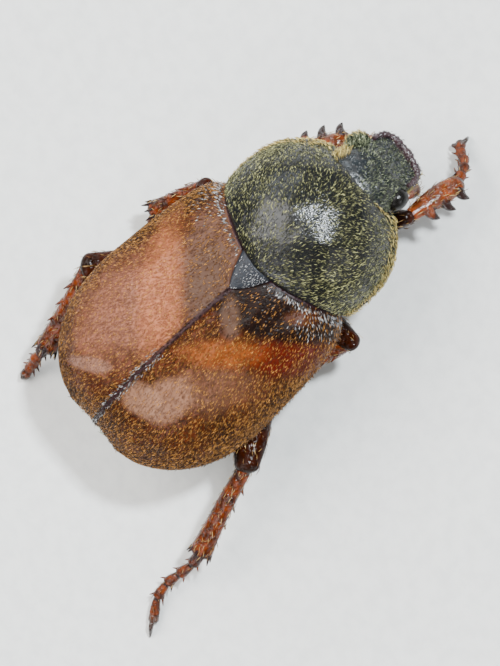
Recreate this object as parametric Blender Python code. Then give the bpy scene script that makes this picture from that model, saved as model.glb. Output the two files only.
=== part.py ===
"""Welsh chafer standing on its six feet: a still, life-size model of the whole beetle.

Sizes are in millimetres. The shapes are drawn with the tip of the scutellum at
x = 0 and y = 0, the head towards +Y, the right side towards +X and the floor at
z = 0. The finished nodes are moved by SHIFT and scaled to metres.
"""

import math
from typing import NamedTuple

import bmesh
import bpy
import numpy as np

MM = 0.001
SHIFT = (-0.48, 1.04, 0.0)

GAP = 0.10
FINE_GAP = 0.06

COVER_THICK = 0.40
COVER_POWER = 2.45
COVER_ROWS = 22
COVER_ACROSS = 11
BASE_BEND = 1.4
SUTURE_RIDGE = 0.04
SUTURE_RIDGE_WIDTH = 0.10
COSTAE = (0.34, 0.62)
COSTA_HEIGHT = 0.03
COSTA_WIDTH = 0.045

SCUTELLUM_LENGTH = 0.62
SCUTELLUM_FORWARD = 0.08
SCUTELLUM_HALF = 0.43
SCUTELLUM_POWER = 0.62
SCUTELLUM_THICK = 0.36

PRONOTUM_POWER = 2.25
UNDER_POWER = 1.9
RING_SIDES = 24

HEAD_TILT = math.radians(46)
HEAD_TURN = math.radians(5)
HEAD_ORIGIN = (0.0, 2.904, 3.019)
HEAD_SIDES = 20
CLYPEUS_RIM = 0.060
EYE_RADIUS = 0.24
EYE_PLACE = (0.71, 0.85, 0.32)
EYE_STRETCH = (0.95, 1.12, 1.0)

LIMB_SIDES = 10
SPINE_SIDES = 4
TOOTH_SIDES = 6
DOME = 0.8

SHELL_BROWN = (0.36, 0.10, 0.028)
SHIELD_BLACK = (0.030, 0.034, 0.026)
UNDER_GREY = (0.10, 0.11, 0.075)
LEG_RED = (0.30, 0.075, 0.018)
LEG_DARK = (0.07, 0.022, 0.010)
EYE_BLACK = (0.006, 0.007, 0.009)


class CoverRow(NamedTuple):
    """One line across the wing covers: its middle, its side and its heights."""

    y: float
    side_forward: float
    half_width: float
    top: float
    margin: float


class BodyRow(NamedTuple):
    """One closed section of the trunk."""

    y_top: float
    y_side: float
    y_under: float
    half_width: float
    top: float
    margin: float
    under: float


class HeadRow(NamedTuple):
    """One closed section of the head, across its slanting axis."""

    along: float
    half_width: float
    face: float
    under: float


COVER_LINES = (
    CoverRow(0.62, 0.54, 1.78, 4.03, 2.78),
    CoverRow(0.45, 0.46, 2.07, 4.08, 2.68),
    CoverRow(0.16, 0.34, 2.23, 4.12, 2.58),
    CoverRow(-0.40, 0.20, 2.34, 4.14, 2.48),
    CoverRow(-1.25, 0.05, 2.42, 4.14, 2.38),
    CoverRow(-2.05, 0.0, 2.44, 4.07, 2.32),
    CoverRow(-2.80, 0.0, 2.36, 3.90, 2.30),
    CoverRow(-3.38, 0.0, 2.15, 3.67, 2.31),
    CoverRow(-3.83, 0.0, 1.86, 3.40, 2.34),
    CoverRow(-4.12, -0.01, 1.55, 3.13, 2.38),
    CoverRow(-4.32, -0.03, 1.20, 2.86, 2.42),
    CoverRow(-4.43, -0.05, 0.80, 2.62, 2.46),
)

PROTHORAX_ROWS = (
    BodyRow(0.73, 1.22, 0.95, 1.86, 4.10, 2.80, 1.55),
    BodyRow(1.05, 1.48, 1.15, 1.92, 4.25, 2.70, 1.34),
    BodyRow(1.60, 1.88, 1.60, 1.93, 4.32, 2.58, 1.24),
    BodyRow(2.15, 2.25, 2.00, 1.88, 4.27, 2.50, 1.22),
    BodyRow(2.70, 2.68, 2.35, 1.70, 4.05, 2.42, 1.27),
    BodyRow(3.10, 3.02, 2.60, 1.41, 3.78, 2.38, 1.40),
    BodyRow(3.38, 3.30, 2.80, 1.05, 3.50, 2.40, 1.58),
)

THORAX_ROWS = (
    BodyRow(0.60, 1.06, 0.62, 1.62, 3.75, 2.55, 1.35),
    BodyRow(0.25, 0.62, 0.30, 1.98, 3.90, 2.48, 1.12),
    BodyRow(-0.45, -0.35, -0.45, 2.16, 3.95, 2.40, 1.03),
    BodyRow(-1.15, -1.15, -1.15, 2.26, 3.95, 2.34, 1.06),
)

ABDOMEN_SEGMENTS = 5
ABDOMEN_STEP = 0.955
ABDOMEN_ROWS = (
    BodyRow(-1.27, -1.27, -1.27, 2.26, 3.90, 2.34, 1.10),
    BodyRow(-2.05, -2.05, -2.05, 2.30, 3.80, 2.30, 1.08),
    BodyRow(-2.80, -2.80, -2.80, 2.20, 3.65, 2.28, 1.14),
    BodyRow(-3.45, -3.45, -3.40, 1.95, 3.45, 2.28, 1.28),
    BodyRow(-3.97, -3.97, -3.85, 1.56, 3.15, 2.30, 1.48),
)

PYGIDIUM_ROWS = (
    BodyRow(-4.07, -4.07, -3.95, 1.40, 2.95, 2.20, 1.50),
    BodyRow(-4.22, -4.20, -4.08, 1.28, 2.72, 2.14, 1.50),
    BodyRow(-4.36, -4.32, -4.20, 1.06, 2.42, 2.10, 1.56),
    BodyRow(-4.47, -4.42, -4.34, 0.74, 2.26, 2.06, 1.68),
    BodyRow(-4.53, -4.49, -4.45, 0.36, 2.14, 2.03, 1.82),
)

HEAD_ROWS = (
    HeadRow(-0.35, 0.66, 0.30, -0.72),
    HeadRow(0.00, 0.78, 0.58, -0.74),
    HeadRow(0.40, 0.82, 0.70, -0.70),
    HeadRow(0.80, 0.77, 0.72, -0.60),
    HeadRow(1.10, 0.69, 0.66, -0.42),
    HeadRow(1.34, 0.63, 0.57, -0.16),
    HeadRow(1.52, 0.54, 0.49, 0.08),
    HeadRow(1.61, 0.40, 0.42, 0.22),
)


class Pair(NamedTuple):
    """Half widths of the segments that the two legs of a pair share, and their claws."""

    coxa: float
    femur: tuple
    femur_flat: float
    tibia: tuple
    flat: float
    tarsus: float
    claws: tuple


class Leg(NamedTuple):
    """The joints of one leg, from the body to the tip of the longest claw."""

    pair: Pair
    side: int
    hip: tuple
    trochanter: tuple
    knee: tuple
    ankle: tuple
    toes: tuple
    claw_tip: tuple


FRONT = Pair(0.30, (0.20, 0.27, 0.27, 0.21), 0.90, (0.19, 0.22, 0.26, 0.25), 0.80, 0.195, (1.0, 0.55))
MIDDLE = Pair(0.31, (0.21, 0.27, 0.27, 0.21), 1.15, (0.19, 0.22, 0.24, 0.26), 0.90, 0.195, (1.0, 0.62))
HIND = Pair(0.34, (0.22, 0.30, 0.32, 0.24), 1.32, (0.20, 0.23, 0.25, 0.29), 0.92, 0.200, (1.0,))

LEGS = {
    "front_right": Leg(
        FRONT, 1, (0.42, 2.25, 1.42), (0.62, 2.52, 1.08), (1.13, 3.43, 1.86), (1.22, 4.55, 1.20),
        ((1.09, 4.74, 0.96), (0.98, 4.86, 0.74), (0.82, 4.92, 0.54), (0.64, 4.94, 0.36)),
        (0.42, 5.04, 0.02),
    ),
    "front_left": Leg(
        FRONT, -1, (-0.42, 2.25, 1.42), (-0.64, 2.50, 1.08), (-1.63, 2.30, 1.66), (-1.08, 3.32, 1.10),
        ((-0.95, 3.52, 0.86), (-0.85, 3.63, 0.64), (-0.75, 3.69, 0.44), (-0.65, 3.70, 0.26)),
        (-0.45, 3.66, 0.02),
    ),
    "middle_right": Leg(
        MIDDLE, 1, (0.55, 0.52, 1.18), (0.95, 0.36, 0.98), (2.30, 0.74, 1.76), (1.82, -0.52, 1.00),
        ((1.80, -0.86, 0.80), (1.81, -1.16, 0.61), (1.82, -1.44, 0.44), (1.82, -1.72, 0.30)),
        (1.80, -2.20, 0.02),
    ),
    "middle_left": Leg(
        MIDDLE, -1, (-0.55, 0.52, 1.18), (-0.95, 0.36, 0.98), (-2.30, 0.52, 1.78), (-2.68, -0.74, 1.10),
        ((-2.56, -1.05, 0.86), (-2.42, -1.32, 0.66), (-2.29, -1.57, 0.47), (-2.18, -1.83, 0.31)),
        (-2.04, -2.26, 0.02),
    ),
    "hind_right": Leg(
        HIND, 1, (0.60, -0.82, 1.12), (1.14, -1.08, 0.96), (2.76, -2.70, 1.84), (3.36, -4.83, 0.95),
        ((3.43, -5.26, 0.72), (3.38, -5.66, 0.52), (3.34, -6.03, 0.38), (3.42, -6.42, 0.28)),
        (3.92, -7.16, 0.02),
    ),
    "hind_left": Leg(
        HIND, -1, (-0.60, -0.82, 1.12), (-1.12, -1.10, 0.96), (-2.68, -2.50, 1.86), (-2.12, -4.49, 0.98),
        ((-2.12, -4.78, 0.76), (-2.12, -5.00, 0.58), (-2.09, -5.15, 0.42), (-2.10, -5.30, 0.28)),
        (-2.06, -5.62, 0.02),
    ),
}

FLOOR_CUT = 0.0
CLAW_BASE = 0.15
CLAW_TIP = 0.045
CLAW_SPREAD = 0.17

TOOTH_OUT = 0.37
TOOTH_FORWARD = 0.10
TOOTH_ROOT = 0.14
TOOTH_PLACES = (0.36, 0.66, 0.97)
TOOTH_SIZES = (1.0, 1.1, 1.0)
CROWN_SPINES = 6
CROWN_LENGTH = 0.30
SPINE_ROOT = 0.055
SPINE_TIP = 0.012


def smooth(rows, count):
    """Rows of a curve that passes smoothly through the given rows, in equal steps."""
    rows = np.asarray(rows, float)
    ends = np.vstack([2 * rows[0] - rows[1], rows, 2 * rows[-1] - rows[-2]])
    places = np.linspace(0, len(rows) - 1, count)
    span = np.minimum(places.astype(int), len(rows) - 2)
    t = (places - span)[:, None]
    a, b, c, d = (ends[span + k] for k in range(4))
    curve = 2 * b + (c - a) * t + (2 * a - 5 * b + 4 * c - d) * t**2
    return 0.5 * (curve + (3 * b - a - 3 * c + d) * t**3)


def unit(vector):
    """The vector made one long."""
    vector = np.asarray(vector, float)
    return vector / np.linalg.norm(vector)


def closed_mesh(bm):
    """A mesh from bm with its faces turned outwards."""
    bmesh.ops.recalc_face_normals(bm, faces=bm.faces)
    mesh = bpy.data.meshes.new("shape")
    bm.to_mesh(mesh)
    bm.free()
    return mesh


def tube(rings):
    """A closed mesh through rings of equal count, with a fan over each end."""
    bm = bmesh.new()
    lines = [[bm.verts.new(point) for point in ring] for ring in rings]
    around = len(lines[0])
    for low, high in zip(lines, lines[1:]):
        for i in range(around):
            j = (i + 1) % around
            bm.faces.new((low[i], low[j], high[j], high[i]))
    ends = [bm.faces.new(lines[0][::-1]), bm.faces.new(lines[-1])]
    bmesh.ops.poke(bm, faces=ends)
    return closed_mesh(bm)


def plate(outer, inner):
    """A closed mesh between two matching grids of points."""
    bm = bmesh.new()
    faces = [[[bm.verts.new(p) for p in row] for row in grid] for grid in (outer, inner)]
    rows, columns = len(outer), len(outer[0])
    for grid in faces:
        for i in range(rows - 1):
            for j in range(columns - 1):
                bm.faces.new((grid[i][j], grid[i][j + 1], grid[i + 1][j + 1], grid[i + 1][j]))
    top, low = faces
    border = [(0, j) for j in range(columns)]
    border += [(i, columns - 1) for i in range(1, rows)]
    border += [(rows - 1, j) for j in range(columns - 2, -1, -1)]
    border += [(i, 0) for i in range(rows - 2, 0, -1)]
    for (a, b), (c, d) in zip(border, border[1:] + border[:1]):
        bm.faces.new((top[a][b], top[c][d], low[c][d], low[a][b]))
    return closed_mesh(bm)


def largest(mesh):
    """The mesh with only its largest closed surface kept."""
    bm = bmesh.new()
    bm.from_mesh(mesh)
    bmesh.ops.remove_doubles(bm, verts=bm.verts, dist=1e-4)
    bmesh.ops.dissolve_degenerate(bm, dist=1e-4, edges=bm.edges)
    left = set(bm.faces)
    surfaces = []
    while left:
        start = left.pop()
        surface = {start}
        waiting = [start]
        while waiting:
            for edge in waiting.pop().edges:
                for face in edge.link_faces:
                    if face in left:
                        left.discard(face)
                        surface.add(face)
                        waiting.append(face)
        surfaces.append(surface)
    kept = max(surfaces, key=len)
    spare = [face for face in bm.faces if face not in kept]
    bmesh.ops.delete(bm, geom=spare, context="FACES")
    bm.to_mesh(mesh)
    bm.free()
    return mesh


def combined(base, others, operation, solver="EXACT"):
    """The base mesh after one Boolean with a collection of closed meshes."""
    cutters = bpy.data.collections.new("cutters")
    bpy.context.scene.collection.children.link(cutters)
    for mesh in others:
        piece = bpy.data.objects.new("cutter", mesh)
        piece.hide_render = True
        piece.display_type = "WIRE"
        cutters.objects.link(piece)
    host = bpy.data.objects.new("host", base)
    bpy.context.scene.collection.objects.link(host)
    step = host.modifiers.new("combine", "BOOLEAN")
    step.operation = operation
    step.operand_type = "COLLECTION"
    step.collection = cutters
    step.solver = solver
    graph = bpy.context.evaluated_depsgraph_get()
    result = bpy.data.meshes.new_from_object(host.evaluated_get(graph))
    for piece in list(cutters.objects) + [host]:
        bpy.data.objects.remove(piece)
    bpy.data.collections.remove(cutters)
    return largest(result)


def fused(pieces):
    """One closed mesh from overlapping closed meshes."""
    return combined(pieces[0], pieces[1:], "UNION")


def carved(base, cutters):
    """The base mesh with the cutters taken out of it."""
    return combined(base, cutters, "DIFFERENCE")


def trimmed(mesh, point, normal):
    """The closed mesh cut by a plane, without the side that the normal points to."""
    bm = bmesh.new()
    bm.from_mesh(mesh)
    geometry = bm.verts[:] + bm.edges[:] + bm.faces[:]
    bmesh.ops.bisect_plane(
        bm, geom=geometry, dist=1e-5, plane_co=point, plane_no=normal, clear_outer=True
    )
    edges = [edge for edge in bm.edges if edge.is_boundary]
    if edges:
        bmesh.ops.holes_fill(bm, edges=edges, sides=0)
    bmesh.ops.triangulate(bm, faces=[face for face in bm.faces if len(face.verts) > 4])
    return closed_mesh(bm)


def mirrored(mesh):
    """A copy of the mesh turned over to the other side of the body."""
    bm = bmesh.new()
    bm.from_mesh(mesh)
    bmesh.ops.scale(bm, vec=(-1, 1, 1), verts=bm.verts)
    bmesh.ops.reverse_faces(bm, faces=bm.faces)
    return closed_mesh(bm)


def sutural_edge(y):
    """Distance from the middle to the inner edge of a wing cover."""
    opening = np.clip(np.asarray(y) / SCUTELLUM_LENGTH, 0, 1) ** SCUTELLUM_POWER
    return GAP / 2 + (SCUTELLUM_HALF + GAP / 2) * opening


def cover_relief(y, x, half_width):
    """Height of the ribs and of the shoulder and hind bumps of a wing cover."""
    share = x / half_width
    fade = np.clip((y + 4.1) / 0.8, 0, 1) * np.clip((0.5 - y) / 0.6, 0, 1)
    ribs = sum(np.exp(-(((share - place) / COSTA_WIDTH) ** 2)) for place in COSTAE)
    shoulder = np.exp(-((x - 1.62) ** 2) / 0.09 - (y - 0.42) ** 2 / 0.10)
    hind = np.exp(-((x - 1.25) ** 2) / 0.12 - (y + 3.45) ** 2 / 0.08)
    ridge = np.exp(-((x / SUTURE_RIDGE_WIDTH) ** 2)) * np.clip(-y / 0.4, 0, 1)
    return COSTA_HEIGHT * ribs * fade + 0.09 * shoulder + 0.07 * hind + SUTURE_RIDGE * ridge


def cover_grid(rows, across, to_middle=False, lower=0.0):
    """Grid of the right wing cover's outer face and the outward normals there."""
    grid = np.zeros((rows, across, 3))
    for i, values in enumerate(smooth(COVER_LINES, rows)):
        y, forward, half_width, top, margin = values
        inner = 0.0 if to_middle else sutural_edge(y)
        first = math.asin((inner / half_width) ** (COVER_POWER / 2))
        angle = np.linspace(first, math.pi / 2, across)
        x = half_width * np.sin(angle) ** (2 / COVER_POWER)
        margin = margin - lower
        rise = np.abs(np.cos(angle)) ** (2 / COVER_POWER)
        grid[i, :, 0] = x
        grid[i, :, 1] = y + forward * (x / half_width) ** BASE_BEND
        grid[i, :, 2] = margin + (top - margin) * rise
    along, aside = np.gradient(grid, axis=0), np.gradient(grid, axis=1)
    normal = np.cross(aside, along)
    normal *= -1 / np.linalg.norm(normal, axis=2, keepdims=True)
    half = np.array(smooth(COVER_LINES, rows))[:, 2:3]
    relief = cover_relief(grid[:, :, 1], grid[:, :, 0], half)
    return grid + normal * relief[:, :, None], normal


def cover_thickness(rows):
    """Thickness of a wing cover from its base to its apex."""
    share = np.linspace(0, 1, rows)
    return (COVER_THICK * (1 - 0.45 * np.clip((share - 0.7) / 0.3, 0, 1)))[:, None, None]


def wing_cover():
    """The right wing cover, a domed plate."""
    outer, normal = cover_grid(COVER_ROWS, COVER_ACROSS)
    inner = outer - normal * cover_thickness(COVER_ROWS)
    inner[:, :, 0] = np.maximum(inner[:, :, 0], outer[:, :1, 0])
    return plate(outer, inner)


def cover_cutter():
    """The room that the two wing covers and the gap below them take up."""
    outer, normal = cover_grid(COVER_ROWS, COVER_ACROSS, to_middle=True, lower=GAP)
    normal[:, 0, 0] = 0
    inside = outer - normal * (cover_thickness(COVER_ROWS) + GAP)
    inside[:, :, 0] = np.maximum(inside[:, :, 0], 0)
    outside = outer + normal * 0.5
    outside[:, 0, 0] = 0
    inside[:, 0, 0] = 0
    flip = np.array((-1, 1, 1))
    grids = []
    for grid in (outside, inside):
        extended = np.concatenate([grid[:1] + (0, 0.6, 0), grid, grid[-1:] - (0, 0.5, 0)])
        grids.append(np.concatenate([extended[:, :0:-1] * flip, extended], axis=1))
    return plate(*grids)


def section(row, sides, top_power, under_power):
    """One closed ring of the trunk."""
    turn = np.linspace(0, 2 * math.pi, sides, endpoint=False)
    sine, cosine = np.sin(turn), np.cos(turn)
    upper = cosine >= 0
    power = np.where(upper, top_power, under_power)
    share = np.sign(sine) * np.abs(sine) ** (2 / power)
    rise = np.abs(cosine) ** (2 / power)
    z = np.where(
        upper,
        row.margin + (row.top - row.margin) * rise,
        row.margin - (row.margin - row.under) * rise,
    )
    middle = np.where(upper, row.y_top, row.y_under)
    y = middle + (row.y_side - middle) * np.abs(share) ** BASE_BEND
    return np.stack([share * row.half_width, y, z], axis=1)


def trunk(rows, count, top_power=2.3, under_power=UNDER_POWER, sides=RING_SIDES):
    """A closed piece of the trunk through its rows."""
    smooth_rows = [BodyRow(*values) for values in smooth(rows, count)]
    return tube([section(row, sides, top_power, under_power) for row in smooth_rows])


def abdomen():
    """The belly with its overlapping ring plates."""
    steps = ABDOMEN_SEGMENTS * 3 + 1
    rings = []
    for i, values in enumerate(smooth(ABDOMEN_ROWS, steps)):
        row = BodyRow(*values)
        drop = (1 - ABDOMEN_STEP) * (i % 3) / 2
        under = row.margin - (row.margin - row.under) * (1 - drop)
        rings.append(section(row._replace(under=under), RING_SIDES, 2.3, UNDER_POWER))
    return tube(rings)


def scutellum():
    """The small shield between the bases of the wing covers."""
    rows, across = 9, 9
    outer = np.zeros((rows, across, 3))
    lines = np.linspace(0.02, SCUTELLUM_LENGTH, rows)
    for i, y in enumerate(lines):
        half = max(SCUTELLUM_HALF * (y / SCUTELLUM_LENGTH) ** SCUTELLUM_POWER - 0.03, 0.02)
        x = np.linspace(-half, half, across)
        outer[i, :, 0] = x
        outer[i, :, 1] = y + SCUTELLUM_FORWARD * (np.abs(x) / SCUTELLUM_HALF) ** BASE_BEND
        outer[i, :, 2] = 4.07 + 0.05 * np.cos(0.5 * math.pi * x / SCUTELLUM_HALF)
    inner = outer.copy()
    inner[:, :, 2] = 4.07 - SCUTELLUM_THICK
    return plate(outer, inner)


def turned(points):
    """Points turned with the head, which looks a little to the right."""
    sine, cosine = math.sin(HEAD_TURN), math.cos(HEAD_TURN)
    turn = np.array(((cosine, sine, 0), (-sine, cosine, 0), (0, 0, 1)))
    return (np.asarray(points, float) - HEAD_ORIGIN) @ turn.T + HEAD_ORIGIN


def head_point(x, along, out):
    """A point given on the head's own axes: across, along the face, out of the face."""
    forward = np.array((0, math.cos(HEAD_TILT), -math.sin(HEAD_TILT)))
    up = np.array((0, math.sin(HEAD_TILT), math.cos(HEAD_TILT)))
    return turned(np.array(HEAD_ORIGIN) + np.array((x, 0, 0)) + forward * along + up * out)


def head_rings(extra=0.0):
    """Closed sections of the head, grown by extra."""
    rings = []
    for values in smooth(HEAD_ROWS, 11):
        row = HeadRow(*values)
        turn = np.linspace(0, 2 * math.pi, HEAD_SIDES, endpoint=False)
        power = 2.5
        across = np.sign(np.sin(turn)) * np.abs(np.sin(turn)) ** (2 / power)
        rise = np.sign(np.cos(turn)) * np.abs(np.cos(turn)) ** (2 / power)
        middle, half = (row.face + row.under) / 2, (row.face - row.under) / 2 + extra
        half_width = row.half_width + extra
        rings.append(
            [head_point(half_width * a, row.along, middle + half * r) for a, r in zip(across, rise)]
        )
    return rings


def ball(center, radii, segments=16, rings=9):
    """An upright ellipsoid."""
    bm = bmesh.new()
    bmesh.ops.create_uvsphere(bm, u_segments=segments, v_segments=rings, radius=1)
    bmesh.ops.scale(bm, vec=radii, verts=bm.verts)
    bmesh.ops.translate(bm, vec=center, verts=bm.verts)
    return closed_mesh(bm)


def axes_along(direction, toward):
    """Two axes across a direction, the first one lying closest to toward."""
    direction = unit(direction)
    first = unit(np.asarray(toward, float) - direction * np.dot(direction, toward))
    return first, np.cross(direction, first)


def sweep(path, sizes, toward=(0, 0, 1), flat=1.0, sides=LIMB_SIDES):
    """A closed limb along a path of points, with a half width at each of them."""
    path = np.asarray(path, float)
    directions = np.gradient(path, axis=0)
    turn = np.linspace(0, 2 * math.pi, sides, endpoint=False)
    rings = []
    for point, direction, size in zip(path, directions, sizes):
        first, second = axes_along(direction, toward)
        wave = np.outer(np.cos(turn), first * size) + np.outer(np.sin(turn), second * size * flat)
        rings.append(point + wave)
    return tube(rings)


def limb(start, end, halves, toward=(0, 0, 1), flat=1.0, extra=0.0, sides=LIMB_SIDES):
    """A straight segment with domed ends and a half width that follows halves."""
    start, end = np.asarray(start, float), np.asarray(end, float)
    along = unit(end - start)
    sizes = smooth(np.array(halves)[:, None], 2 * len(halves) - 1)[:, 0] + extra
    middle = np.linspace(0, 1, len(sizes))[:, None] * (end - start) + start
    near = [(math.sin(a), math.cos(a)) for a in (1.35, 0.8)]
    first = [(start - along * sizes[0] * DOME * s, sizes[0] * c) for s, c in near]
    last = [(end + along * sizes[-1] * DOME * s, sizes[-1] * c) for s, c in near[::-1]]
    path = [p for p, _ in first] + list(middle) + [p for p, _ in last]
    halves = [s for _, s in first] + list(sizes) + [s for _, s in last]
    return sweep(path, halves, toward, flat, sides)


def spine(root, tip, width, sides=SPINE_SIDES, bend=(0, 0, 0)):
    """A tapered spine whose root is sunk into its segment."""
    root, tip = np.asarray(root, float), np.asarray(tip, float)
    middle = (root + tip) / 2 + np.asarray(bend, float)
    path = smooth([root, middle, tip], 4)
    sizes = np.linspace(width, max(SPINE_TIP, width * 0.16), 4)
    return sweep(path, sizes, toward=unit(np.cross(tip - root, (0.3, 0.2, 1))), sides=sides)


def seam(before, joint, after):
    """The normal of the plane in which two segments meet at a joint."""
    return unit(unit(np.subtract(joint, before)) + unit(np.subtract(after, joint)))


def bead_sizes(count, half):
    """Places and half widths along a tarsus of count joints, each widening to its end."""
    places, sizes = [], []
    for i in range(count):
        taper = 1 - 0.20 * i / (count - 1)
        for share, size in ((0.04, 0.70), (0.80, 1.0), (0.97, 0.88)):
            places.append(i + share)
            sizes.append(half * size * taper)
    return places, sizes


def foot(leg):
    """The tarsus as one run of joints, with short spines under their ends."""
    joints = np.array([leg.ankle, *leg.toes])
    run = np.vstack([joints, joints[-1] + (np.array(leg.claw_tip) - joints[-1]) * 0.42])
    places, sizes = bead_sizes(len(run) - 1, leg.pair.tarsus)
    fine = smooth(run, 10 * (len(run) - 1) + 1)
    path = np.array([fine[int(round(place * 10))] for place in places])
    pieces = [sweep(path, sizes, sides=8)]
    for i in range(1, len(run) - 1):
        along = unit(run[i] - run[i - 1])
        aside, _ = axes_along(along, (1, 0, 0))
        for turn in (-1, 1):
            root = run[i] - along * 0.10 + aside * turn * 0.08 - np.array((0, 0, 0.06))
            tip = root + along * 0.15 + aside * turn * 0.14 - np.array((0, 0, 0.05))
            tip[2] = max(tip[2], 0.06)
            pieces.append(spine(root, tip, 0.045))
    return fused(pieces)


def claw_set(leg):
    """The claws on their knuckle, with flats where they rest on the floor."""
    last, tip = np.array(leg.toes[-1]), np.array(leg.claw_tip)
    start = last + (tip - last) * 0.50
    along = unit((tip - start) * (1, 1, 0))
    aside = np.array((-along[1], along[0], 0))
    reach = np.linalg.norm((tip - start)[:2])
    pieces = [limb(start, start + (tip - start) * 0.10, (0.15, 0.14), sides=10)]
    for number, length in enumerate(leg.pair.claws):
        turn = 0 if len(leg.pair.claws) == 1 else (-1, 1)[number] * leg.side
        points = []
        for share, height, out in ((0.0, 0.0, 0.0), (0.35, 0.02, 0.5), (0.75, -0.06, 1.0), (1.0, 0.0, 1.1)):
            place = start + along * reach * share * length + aside * turn * CLAW_SPREAD * out
            place[2] = start[2] * (1 - share) ** 1.4 + height + 0.07 * share
            points.append(place)
        path = smooth(points, 7)
        sizes = np.linspace(CLAW_BASE, CLAW_TIP, 7)
        pieces.append(sweep(path, sizes, sides=8))
    return trimmed(fused(pieces), (0, 0, FLOOR_CUT), (0, 0, -1))


def front_teeth(leg):
    """The three teeth on the outer edge of a front tibia."""
    knee, ankle = np.array(leg.knee), np.array(leg.ankle)
    along = unit(ankle - knee)
    out, _ = axes_along(along, (leg.side, 0, 0))
    teeth = []
    for number, place in enumerate(TOOTH_PLACES):
        root = knee + (ankle - knee) * place + out * 0.08
        size = TOOTH_SIZES[number]
        tip = root + out * TOOTH_OUT * size + along * TOOTH_FORWARD * size
        teeth.append(spine(root, tip, TOOTH_ROOT, TOOTH_SIDES, bend=out * 0.02 - along * 0.02))
    return teeth


def crown(leg):
    """The spines round the end of a middle or hind tibia."""
    knee, ankle = np.array(leg.knee), np.array(leg.ankle)
    along = unit(ankle - knee)
    first, second = axes_along(along, (0, 0, 1))
    radius = leg.pair.tibia[-1] * 0.72
    spines = []
    for number in range(CROWN_SPINES):
        turn = 2 * math.pi * (number + 0.5) / CROWN_SPINES
        out = first * math.cos(turn) + second * math.sin(turn)
        root = ankle - along * 0.20 + out * radius
        length = CROWN_LENGTH * (1.0 - 0.25 * (number % 2))
        spines.append(spine(root, root + along * length + out * 0.10, SPINE_ROOT))
    for place in (0.35, 0.62):
        out = unit(first * 0.5 + second * leg.side)
        root = knee + (ankle - knee) * place + out * leg.pair.tibia[1] * 0.7
        spines.append(spine(root, root + out * 0.18 + along * 0.14, SPINE_ROOT))
    return spines


def leg_parts(leg):
    """The five solids of one leg, by name."""
    pair = leg.pair
    hip, trochanter = np.array(leg.hip), np.array(leg.trochanter)
    knee, ankle, toe = np.array(leg.knee), np.array(leg.ankle), np.array(leg.toes[0])
    plane_a = seam(hip, trochanter, knee)
    plane_b = seam(trochanter, knee, ankle)
    plane_c = seam(knee, ankle, toe)
    last, tip = np.array(leg.toes[-1]), np.array(leg.claw_tip)
    plane_d = unit(tip - last)
    wrist = last + (tip - last) * 0.42
    half_gap = GAP / 2
    coxa = limb(hip, trochanter, (pair.coxa, pair.coxa * 0.92))
    coxa = trimmed(coxa, trochanter - plane_a * half_gap, plane_a)
    femur = limb(trochanter, knee, pair.femur, flat=pair.femur_flat)
    femur = trimmed(femur, trochanter + plane_a * half_gap, -plane_a)
    femur = trimmed(femur, knee - plane_b * half_gap, plane_b)
    out, _ = axes_along(ankle - knee, (leg.side, 0, 0))
    tibia = [limb(knee, ankle, pair.tibia, toward=out, flat=pair.flat)]
    tibia += front_teeth(leg) if pair is FRONT else crown(leg)
    tibia = trimmed(fused(tibia), knee + plane_b * half_gap, -plane_b)
    shin_end = ankle - plane_c * half_gap
    if pair is FRONT:
        tibia = trimmed(tibia, shin_end + plane_c * 0.30, plane_c)
    tarsus = trimmed(foot(leg), ankle + plane_c * (half_gap + 0.02), -plane_c)
    tarsus = trimmed(tarsus, wrist - plane_d * half_gap, plane_d)
    claws = trimmed(claw_set(leg), wrist + plane_d * half_gap * 0.6, -plane_d)
    tarsus_room = limb(ankle, toe, (pair.tarsus + FINE_GAP, pair.tarsus + FINE_GAP))
    tibia = carved(tibia, [tarsus_room])
    return {"coxa": coxa, "femur": femur, "tibia": tibia, "tarsus": tarsus, "claws": claws}


def leg_room(leg):
    """The room that the upper segments of a leg and the gap round them take up."""
    pair = leg.pair
    out, _ = axes_along(np.subtract(leg.ankle, leg.knee), (leg.side, 0, 0))
    return [
        limb(leg.hip, leg.trochanter, (pair.coxa, pair.coxa * 0.92), extra=GAP),
        limb(leg.trochanter, leg.knee, pair.femur, flat=pair.femur_flat, extra=GAP),
        limb(leg.knee, leg.ankle, pair.tibia, toward=out, extra=GAP),
    ]


def eye_center(side):
    """The middle of one eye."""
    x, along, out = EYE_PLACE
    return head_point(side * x, along, out)


def eye(side, extra=0.0):
    """One eye, an upright ball."""
    radii = [EYE_RADIUS * stretch + extra for stretch in EYE_STRETCH]
    return ball(eye_center(side), radii)


def head():
    """The head with its raised clypeus rim, and sockets for the eyes."""
    corners = [
        head_point(side * x, along, out)
        for side, x, along, out in (
            (-1, 0.62, 1.12, 0.52),
            (-1, 0.61, 1.33, 0.50),
            (-1, 0.51, 1.52, 0.50),
            (-1, 0.28, 1.61, 0.51),
            (1, 0.0, 1.63, 0.52),
            (1, 0.28, 1.61, 0.51),
            (1, 0.51, 1.52, 0.50),
            (1, 0.61, 1.33, 0.50),
            (1, 0.62, 1.12, 0.52),
        )
    ]
    path = smooth(corners, 17)
    rim = sweep(path, [CLYPEUS_RIM] * 17, toward=head_point(0, 0, 1) - head_point(0, 0, 0), sides=6)
    cheeks = [
        limb(head_point(s * 0.60, 0.95, 0.10), head_point(s * 0.54, 1.25, 0.28), (0.16, 0.12), sides=8)
        for s in (-1, 1)
    ]
    return carved(fused([tube(head_rings()), rim, *cheeks]), [eye(1, FINE_GAP), eye(-1, FINE_GAP)])


def eye_node(side):
    """One eye, cut flat on its hidden inner side."""
    center = eye_center(side)
    inward = np.array((-side, 0, 0))
    return trimmed(eye(side), center + inward * EYE_RADIUS * 0.75, inward)


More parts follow.
